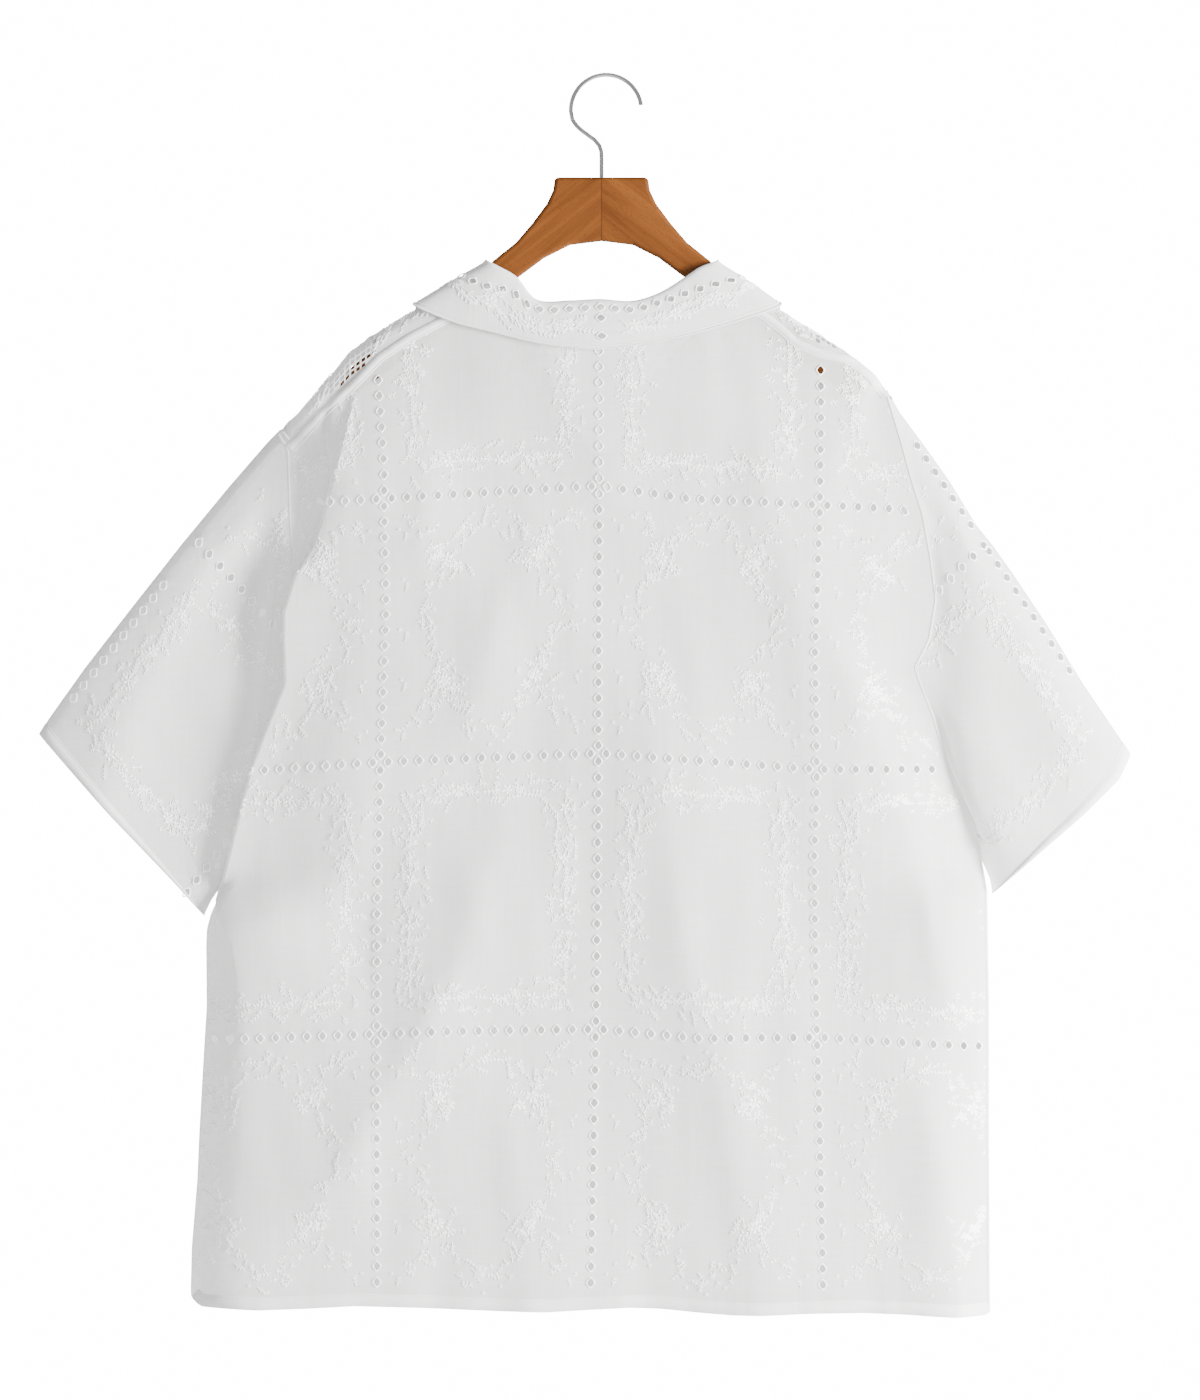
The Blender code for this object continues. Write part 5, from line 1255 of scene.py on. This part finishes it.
# ---------------------------------------------------------------- sleeves
class Patch:
    """A fine grid of points in space, read between its points."""

    def __init__(self, pts, us, vs):
        self.p, self.us, self.vs = pts, us, vs

    def at(self, u, v):
        u, v = np.asarray(u, float), np.asarray(v, float)
        fu = np.interp(u, self.us, np.arange(len(self.us)))
        fv = np.interp(v, self.vs, np.arange(len(self.vs)))
        fu = fu + np.where(u < self.us[0], (u - self.us[0]) / (self.us[1] - self.us[0]), 0) + np.where(u > self.us[-1], (u - self.us[-1]) / (self.us[-1] - self.us[-2]), 0)
        fv = fv + np.where(v < self.vs[0], (v - self.vs[0]) / (self.vs[1] - self.vs[0]), 0) + np.where(v > self.vs[-1], (v - self.vs[-1]) / (self.vs[-1] - self.vs[-2]), 0)
        i = np.clip(np.floor(fu).astype(int), 0, len(self.us) - 2)
        j = np.clip(np.floor(fv).astype(int), 0, len(self.vs) - 2)
        a, b = (fu - i)[..., None], (fv - j)[..., None]
        p = self.p
        return (p[i, j] * (1 - a) + p[i + 1, j] * a) * (1 - b) + (p[i, j + 1] * (1 - a) + p[i + 1, j + 1] * a) * b

    def find(self, x, z, u=None, v=None):
        """(u, v) of the point of the patch at x and z."""
        x, z = np.asarray(x, float), np.asarray(z, float)
        g = self.p[::4, ::4]
        uu, vv = np.meshgrid(self.us[::4], self.vs[::4], indexing="ij")
        flat = g.reshape(-1, 3)
        u, v = np.empty(x.shape), np.empty(x.shape)
        for k in range(0, x.size, 4000):
            xs, zs = x.ravel()[k:k + 4000], z.ravel()[k:k + 4000]
            near = ((flat[None, :, 0] - xs[:, None]) ** 2 + (flat[None, :, 2] - zs[:, None]) ** 2).argmin(1)
            u.ravel()[k:k + 4000], v.ravel()[k:k + 4000] = uu.ravel()[near], vv.ravel()[near]
        for _ in range(12):
            p = self.at(u, v)
            e = 0.5
            pu, pv = self.at(u + e, v) - self.at(u - e, v), self.at(u, v + e) - self.at(u, v - e)
            det = pu[..., 0] * pv[..., 2] - pu[..., 2] * pv[..., 0]
            det = np.where(np.abs(det) < 1e-6, 1e-6, det)
            rx, rz = x - p[..., 0], z - p[..., 2]
            du = np.clip((rx * pv[..., 2] - rz * pv[..., 0]) / det, -20, 20)
            dv = np.clip((rz * pu[..., 0] - rx * pu[..., 2]) / det, -20, 20)
            u, v = u + du * 2 * e, v + dv * 2 * e
        return u, v


def sleeve_patch(sign, layer, edge, top, cuff, under, zt, zu, half_cuff, relief):
    """layer -1 is the back, 1 the front. Rows run from armhole to cuff, columns from the top line to the seam."""
    n_t, n_s = 90, 70
    ts, ss = np.linspace(0, 1, n_t), np.linspace(0, 1, n_s)
    T0, T1 = np.array(top[0]), np.array(top[-1])
    B0, B1 = np.array(under[0]), np.array(under[-1])
    z = zt + (zu - zt) * ss
    x = table(edge, z)
    A = np.stack([x, z], -1)
    g = np.gradient(A, axis=0)
    nrm = np.stack([g[:, 1], -g[:, 0]], -1)
    nrm /= np.linalg.norm(nrm, axis=1, keepdims=True)
    nrm *= np.where(nrm[:, 0:1] * sign < 0, -1.0, 1.0)
    A = A + nrm * 0.35
    y0 = layer * arm_half(z, zt, zu)
    A[0], A[-1] = T0, B0
    C = along(cuff, ss)
    P = np.zeros((n_t, n_s, 3))
    for i, t in enumerate(ts):
        Tt, Bt = along(top, t), along(under, t)
        xz = (1 - t) * A + t * C + (1 - ss)[:, None] * (Tt - ((1 - t) * T0 + t * T1)) + ss[:, None] * (Bt - ((1 - t) * B0 + t * B1))
        b = float(smooth(t / 0.3))
        h = ARM_HALF + (half_cuff - ARM_HALF) * t
        y = layer * h * np.sqrt(np.maximum(0, 1 - (2 * ss - 1) ** 2))
        yy = (1 - b) * y0 + b * y
        win = np.minimum(smooth(t / 0.12), 1.0) * np.minimum(smooth(ss / 0.16), smooth((1 - ss) / 0.16))
        yy = yy - layer * relief(xz[:, 0], xz[:, 1], layer) * win
        P[i] = np.stack([xz[:, 0], yy, xz[:, 1]], -1)
    return Patch(P, ts * 285.0, ss * 180.0)


# creases of the sleeves: depth, reach one side and the other, line as x, z
FOLDS_LEFT = ((7.5, 46.0, 58.0, ((-248.0, -330.0), (-282.0, -420.0), (-306.0, -500.0), (-326.0, -600.0))),
              (-2.4, 24.0, 18.0, ((-262.0, -310.0), (-320.0, -400.0), (-356.0, -480.0), (-372.0, -545.0))),
              (1.8, 12.0, 18.0, ((-250.0, -300.0), (-262.0, -400.0), (-275.0, -470.0))))
FOLDS_RIGHT = ((-4.0, 26.0, 34.0, ((250.0, -330.0), (262.0, -420.0), (270.0, -480.0), (280.0, -570.0))),
               (-2.4, 22.0, 30.0, ((240.0, -280.0), (300.0, -400.0), (345.0, -490.0), (352.0, -545.0))),
               (2.0, 18.0, 20.0, ((238.0, -300.0), (246.0, -380.0), (252.0, -470.0))))


def sleeve_relief(folds, scale):
    def f(x, z, layer):
        out = np.zeros(x.shape)
        for depth, left, right, line in folds:
            pts = sorted((b, a) for a, b in line)
            z0, z1 = pts[0][0], pts[-1][0]
            fade = smooth((z - z0) / 40.0 + 0.6) * smooth((z1 - z) / 50.0 + 0.2)
            d = x - np.interp(z, [p[0] for p in pts], [p[1] for p in pts])
            out = out + depth * fade * np.exp(-(d / np.where(d < 0, left, right)) ** 2)
        return out * (1.0 if layer < 0 else 0.8) + fine(x * 0.8 + 0.5 * z, z * 0.8 - 0.5 * x, 2.9) * scale
    return f


SLEEVES = {}
for name, sign, bedge, fedge, top, cuff, under, zt, zu, half_cuff, frame_t, cuff_s, b_s, skew, mat, folds in (
        ("sleeve_left", -1.0, BACK_LEFT, FRONT_LEFT, SLEEVE_LEFT_TOP, SLEEVE_LEFT_CUFF, SLEEVE_LEFT_UNDER, ARM_TOP_LEFT_Z,
         UNDERARM_LEFT_Z, 15.0, ((-241.5, -262.5), (-0.624, -0.782), (0.782, -0.624)), 285.0, 99.5, 0.16, VOILE_LEFT, FOLDS_LEFT),
        ("sleeve_right", 1.0, BACK_RIGHT, FRONT_RIGHT, SLEEVE_RIGHT_TOP, SLEEVE_RIGHT_CUFF, SLEEVE_RIGHT_UNDER, ARM_TOP_RIGHT_Z,
         UNDERARM_RIGHT_Z, 22.0, ((209.5, -231.5), (0.560, -0.828), (-0.828, -0.560)), 324.0, 134.0, 0.19, VOILE_RIGHT, FOLDS_RIGHT)):
    (tx, tz), (ex, ezz), (fx, fz) = frame_t
    vs, fs, n = [], [], 0
    works = []
    for layer, edge in ((-1.0, bedge), (1.0, fedge)):
        patch = sleeve_patch(sign, layer, edge, top, cuff, under, zt, zu, half_cuff, sleeve_relief(folds, 0.6))
        # outward is away from the middle of the sleeve
        probe = Surface(patch.at, 1.0).raised(np.array([140.0]), np.array([90.0]), np.array([1.0]))[0] - patch.at(np.array([140.0]), np.array([90.0]))[0]
        surf = Surface(patch.at, 1.0 if probe[1] * layer > 0 else -1.0)
        poly = outline([[(0, 0), (285.0, 0)], [(285.0, 0), (285.0, 180.0)], [(285.0, 180.0), (0, 180.0)], [(0, 180.0), (0, 0)]], 3.2)

        def to_sheet(p, q, patch=patch):
            """Pattern: p across the sleeve from its top line, q up from the cuff."""
            p, q = np.asarray(p, float), np.asarray(q, float)
            u = (cuff_s - q) + skew * p
            return patch.find(tx + u * ex + p * fx, tz + u * ezz + p * fz)
        eyes = []
        step = 11.5
        width = 160.0 if sign < 0 else 136.0
        half = 0.0 if layer < 0 else 0.5
        for k in range(-1, 17):
            eyes.append(((k + 0.5 + half) * step, cuff_s - b_s - 9.0 * half))
        for p in ((5.0, 160.0) if sign < 0 else (5.0,)):
            for k in range(0, 34):
                eyes.append((p + 10.0 * half, cuff_s - b_s + (k - 17 + 0.5 + half) * 11.8))
        eyes = np.array(eyes)
        eu, ev = to_sheet(eyes[:, 0], eyes[:, 1])
        p_at = patch.at(eu, ev)
        want = np.stack([tx + ((cuff_s - eyes[:, 1]) + skew * eyes[:, 0]) * ex + eyes[:, 0] * fx,
                         tz + ((cuff_s - eyes[:, 1]) + skew * eyes[:, 0]) * ezz + eyes[:, 0] * fz], -1)
        good = np.hypot(p_at[:, 0] - want[:, 0], p_at[:, 2] - want[:, 1]) < 0.5
        ok = well_inside(np.stack([eu, ev], -1), poly, 5.5) & good
        if layer > 0:
            ok &= clear_of(p_at[:, [0, 2]], near_eyes, 6.5)
        near_eyes = p_at[ok][:, [0, 2]]
        eyes = eyes[ok]
        holes = [np.stack(to_sheet(*eyelet_loop(x, y).T), -1) for x, y in eyes]
        v, f = cut_sheet(poly, holes, 4.6)
        vs.append(patch.at(v[:, 0], v[:, 1]))
        fs.append(f + n)
        n += len(v)
        w = Work()
        x0, x1 = 5.0, 160.0
        w.frame_cell(x0, x1, 6.0, cuff_s - b_s)
        w.spray_cell(x0, x1, cuff_s - b_s, cuff_s - b_s + 200.0)
        for x, y in eyes:
            w.eyelet(x, y)
        works.append(w.build("%s_embroidery_%s" % (name, "back" if layer < 0 else "front"), to_sheet, surf, poly, THREADS))
        band = ribbon(surf, [(285.0, 0.0), (285.0, 180.0)], 10.0, 0.5)
        arm = seam(surf, [(0.3, 1.0), (0.3, 179.0)], 2.2, 0.3)
        works.append(joined("%s_seams_%s" % (name, "back" if layer < 0 else "front"), [band, arm], EDGING))
    ob = mesh_object(name + "_cloth", np.concatenate(vs), np.concatenate(fs), mat)
    bm = bmesh.new()
    bm.from_mesh(ob.data)
    bmesh.ops.remove_doubles(bm, verts=bm.verts, dist=0.15 * MM)
    bmesh.ops.recalc_face_normals(bm, faces=bm.faces)
    bm.to_mesh(ob.data)
    bm.free()
    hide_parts(name)
    SLEEVES[name] = (ob, works)

# ---------------------------------------------------------------- collar
def collar_line(row):
    side, nx, nz, rx, rz, ex, ez = row
    sx = -1.0 if nx < 0 else 1.0
    k = abs(side)
    o = np.array([sx * math.sqrt(max(0.0, 1 - side * side)), side, 0.0])
    up = np.array([0.0, 0.0, 1.0])

    def at(x, z, lift):
        h = max(float(half_depth(np.float64(x), np.float64(z))), 8.6) + lift
        return np.array([x, h * (side if k in (0.0, 1.0) else math.copysign(0.74, side)), z])
    N, R, E = at(nx, nz, 0.2), at(rx, rz, 1.0), at(ex, ez, 3.7)
    N = N + (R - N) / np.linalg.norm(R - N) * (2.2 if side > -1 else 1.0)
    Ri = R - o * 1.5 - up * 3.5
    Ro = R + o * 2.6 - up * 3.2
    A = N + 0.5 * (Ri - N) - o * 0.5 - up * (1 - k)
    return [N, A, Ri, R + o * 0.4, Ro, Ro + (E - Ro) * 0.33 + o * 0.9, Ro + (E - Ro) * 0.68 + o * 0.7, E]


def spline(rows, n):
    """Rows of points carried through by a smooth curve, n steps to each gap."""
    rows = np.asarray(rows, float)
    m = len(rows)
    out = []
    for i in range(m - 1):
        a, b = rows[max(i - 1, 0)], rows[min(i + 2, m - 1)]
        p, q = rows[i], rows[i + 1]
        for t in np.arange(n) / n:
            out.append(0.5 * ((2 * p) + (q - a) * t + (2 * a - 5 * p + 4 * q - b) * t * t + (3 * p - a - 3 * q + b) * t ** 3))
    out.append(rows[-1])
    return np.array(out)


grid = np.array([collar_line(r) for r in COLLAR])
grid = spline(grid, 8)
grid = spline(grid.transpose(1, 0, 2), 6).transpose(1, 0, 2)
# lengths along the outer part of the fall and across the middle back
run = np.r_[0.0, np.cumsum(np.linalg.norm(np.diff(grid[:, 30], axis=0), axis=1))]
across = np.r_[0.0, np.cumsum(np.linalg.norm(np.diff(grid, axis=1), axis=2).mean(0))]
COLLAR_LEN, COLLAR_WIDE = float(run[-1]), float(across[-1])
run = run + np.arange(len(run)) * 1e-6
patch = Patch(grid, run, across)
probe = Surface(patch.at, 1.0).raised(np.array([run[len(run) // 2]]), np.array([across[34]]), np.array([1.0]))[0] - patch.at(np.array([run[len(run) // 2]]), np.array([across[34]]))[0]
COLLAR_SURF = Surface(patch.at, 1.0 if probe[1] < 0 else -1.0)
poly = outline([[(0, 0), (COLLAR_LEN, 0)], [(COLLAR_LEN, 0), (COLLAR_LEN, COLLAR_WIDE)], [(COLLAR_LEN, COLLAR_WIDE), (0, COLLAR_WIDE)],
                [(0, COLLAR_WIDE), (0, 0)]], 3.0)
arcs = np.concatenate([np.zeros((len(grid), 1)), np.cumsum(np.linalg.norm(np.diff(grid, axis=1), axis=2), axis=1)], 1)
ROLL_COL = 20


def on_collar(p, q):
    """p along the collar, q down the fall from the roll, in true lengths."""
    p, q = np.broadcast_arrays(np.asarray(p, float), np.asarray(q, float))
    k = np.clip(np.rint(np.interp(p, run, np.arange(len(run)))).astype(int), 0, len(run) - 1)
    w = np.array([np.interp(arcs[i, ROLL_COL] + d, arcs[i], across) for i, d in zip(k.ravel(), q.ravel())]).reshape(p.shape)
    return p, w


mid_s = float(np.interp(1.0, [0, 1], [0, COLLAR_LEN / 2]))
mid_s = float(run[int(np.argmin(np.abs(grid[:, 40, 0] + 2.0) + 200.0 * (grid[:, 40, 1] > 0)))])
def row_depth(s):
    """The straight row of eyelets runs level, so it drops away from the roll towards the shoulders."""
    return np.interp(np.abs(s - mid_s), (0.0, 47.0, 70.0, 90.0, 110.0, 150.0), (6.5, 7.0, 11.5, 18.0, 22.0, 22.0))


eyes = [(mid_s + 11.4 * k, float(row_depth(mid_s + 11.4 * k))) for k in range(-22, 23)] + [(mid_s, 14.5), (mid_s, 28.0)]
eyes = [e for e in eyes if 12.0 < e[0] < COLLAR_LEN - 12.0]
holes = [np.stack(on_collar(*eyelet_loop(x, y, turned=True).T), -1) for x, y in eyes]
keep = [k for k, h in enumerate(holes) if well_inside(h, poly, 1.5).all()]
eyes, holes = [eyes[k] for k in keep], [holes[k] for k in keep]
v, f = cut_sheet(poly, holes, 3.0)
collar_cloth = mesh_object("collar_cloth", patch.at(v[:, 0], v[:, 1]), f, DOUBLE_PAINTED_SHADE)
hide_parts("collar")
w = Work()
for x, y in eyes:
    w.eyelet(x, y, True)
for d, ph in ((9.0, 0.0), (15.0, 2.0)):
    for lo, hi in ((8.0, mid_s - 14.0), (mid_s + 14.0, COLLAR_LEN - 8.0)):
        w.vine([(s, min(float(row_depth(s)) + d, 33.0) + 1.6 * math.sin(s / 12.0 + ph)) for s in np.arange(lo, hi, 3.0)], 5.4, 1.6, 26.0, 4.8, True, ph)
for k, s0 in enumerate(list(np.arange(mid_s - 24.0, 14.0, -29.0)) + list(np.arange(mid_s + 24.0, COLLAR_LEN - 14.0, 29.0))):
    w.flower(s0, min(float(row_depth(s0)) + 12.0, 31.0), 4.2, 6, 0.6 * k)
    w.sprig(s0 + 5.0, min(float(row_depth(s0)) + 14.0, 31.0), 0.5, 4, 4.0, 3.2, -0.08)
collar_work = w.build("collar_embroidery", on_collar, COLLAR_SURF, poly, THREADS, 2.0)
collar_edge = joined("collar_seams", [seam(COLLAR_SURF, [(1.0, COLLAR_WIDE - 0.8), (COLLAR_LEN - 1.0, COLLAR_WIDE - 0.8)], 1.4, 0.7),
                                      seam(COLLAR_SURF, [(1.0, COLLAR_WIDE - 4.2), (COLLAR_LEN - 1.0, COLLAR_WIDE - 4.2)], 0.7, 0.3)], EDGING)

# ---------------------------------------------------------------- hanger, hook, buttons
for n, m in (("hanger_body", wood_material("stained_wood")), ("hanger_hook", chrome_material("polished_steel"))):
    nodes[n].material_slots[0].material = m
bmat = button_material("button_shell")
for i in range(1, 6):
    nodes["button_%d" % i].material_slots[0].material = bmat

# ---------------------------------------------------------------- area of each sheet, printed
def area_of(ob):
    return sum(p.area for p in ob.data.polygons)


for ob in (back_cloth, FRONTS["front_left"][0], FRONTS["front_right"][0], SLEEVES["sleeve_left"][0], SLEEVES["sleeve_right"][0], collar_cloth):
    print("area", ob.name, round(area_of(ob), 4))
for n, w in (("front_left", 0.345), ("front_right", 0.345)):
    ob, emb, edges = FRONTS[n]
for n in ("sleeve_left", "sleeve_right"):
    ob, works = SLEEVES[n]

# ---------------------------------------------------------------- studio
def pale(name, value, rough=0.9):
    m = Nodes(name)
    b = m.add("ShaderNodeBsdfPrincipled", Roughness=rough)
    n = m.add("ShaderNodeTexNoise", Scale=3.0)
    c = m.add("ShaderNodeMix", _data_type="RGBA")
    m.link(n.outputs["Fac"], c.inputs["Factor"])
    c.inputs["A"].default_value = (value, value, value, 1.0)
    c.inputs["B"].default_value = (value * 0.985, value * 0.985, value * 0.985, 1.0)
    m.link(c.outputs["Result"], b.inputs["Base Color"])
    m.link(b.outputs[0], m.out.inputs["Surface"])
    return m.mat


me = bpy.data.meshes.new("floor")
me.from_pydata([(-4, -4, -1.75), (4, -4, -1.75), (4, 4, -1.75), (-4, 4, -1.75)], [], [(0, 1, 2, 3)])
me.materials.append(pale("floor_paint", 0.82))
floor = bpy.data.objects.new("floor", me)
bpy.context.scene.collection.objects.link(floor)

world = bpy.data.worlds.new("studio")
bpy.context.scene.world = world
world.use_nodes = True
wt = world.node_tree
wt.nodes.clear()
wo = wt.nodes.new("ShaderNodeOutputWorld")
seen, lit, pick, path = (wt.nodes.new(k) for k in ("ShaderNodeBackground", "ShaderNodeBackground", "ShaderNodeMixShader", "ShaderNodeLightPath"))
seen.inputs["Color"].default_value = (1, 1, 1, 1)
seen.inputs["Strength"].default_value = 16.0
lit.inputs["Color"].default_value = (0.97, 0.985, 1.0, 1)
lit.inputs["Strength"].default_value = 0.58
wt.links.new(path.outputs["Is Camera Ray"], pick.inputs["Fac"])
# the white paper behind, dimmed from 16 to 1.9 where it is seen through cloth: painted shade on the paper behind the
# shirt
paper_painted_shade = wt.nodes.new("ShaderNodeMapRange")
paper_painted_shade.inputs["From Min"].default_value, paper_painted_shade.inputs["From Max"].default_value = 0.0, 1.0
paper_painted_shade.inputs["To Min"].default_value, paper_painted_shade.inputs["To Max"].default_value = 16.0, 1.9
wt.links.new(path.outputs["Transparent Depth"], paper_painted_shade.inputs["Value"])
wt.links.new(paper_painted_shade.outputs[0], seen.inputs["Strength"])
wt.links.new(lit.outputs[0], pick.inputs[1])
wt.links.new(seen.outputs[0], pick.inputs[2])
wt.links.new(pick.outputs[0], wo.inputs["Surface"])


def softbox(name, at, to, size, power, color=(1, 1, 1)):
    li = bpy.data.lights.new(name, "AREA")
    li.shape = "RECTANGLE"
    li.size, li.size_y = size
    li.energy = power
    li.color = color
    ob = bpy.data.objects.new(name, li)
    bpy.context.scene.collection.objects.link(ob)
    ob.location = at
    ob.rotation_euler = (Vector(to) - Vector(at)).to_track_quat("-Z", "Y").to_euler()
    return ob


softbox("key", (2.4, -1.12, -0.35), (0.0, 0.0, -0.5), (0.7, 1.3), 650.0, (1.0, 0.995, 0.985))
softbox("front", (0.6, -3.2, 0.6), (0.0, 0.0, -0.5), (2.0, 1.6), 50.0)
softbox("fill", (-2.4, -1.6, -0.2), (0.0, 0.0, -0.5), (1.8, 1.8), 30.0)

cam = bpy.data.cameras.new("camera")
cam.lens = 36.0 * 4.5 / 1.036
cam.clip_end = 50.0
camera = bpy.data.objects.new("camera", cam)
bpy.context.scene.collection.objects.link(camera)
camera.location = (-0.003, -4.5, -0.461)
camera.rotation_euler = (math.pi / 2, 0.0, 0.0)
bpy.context.scene.camera = camera
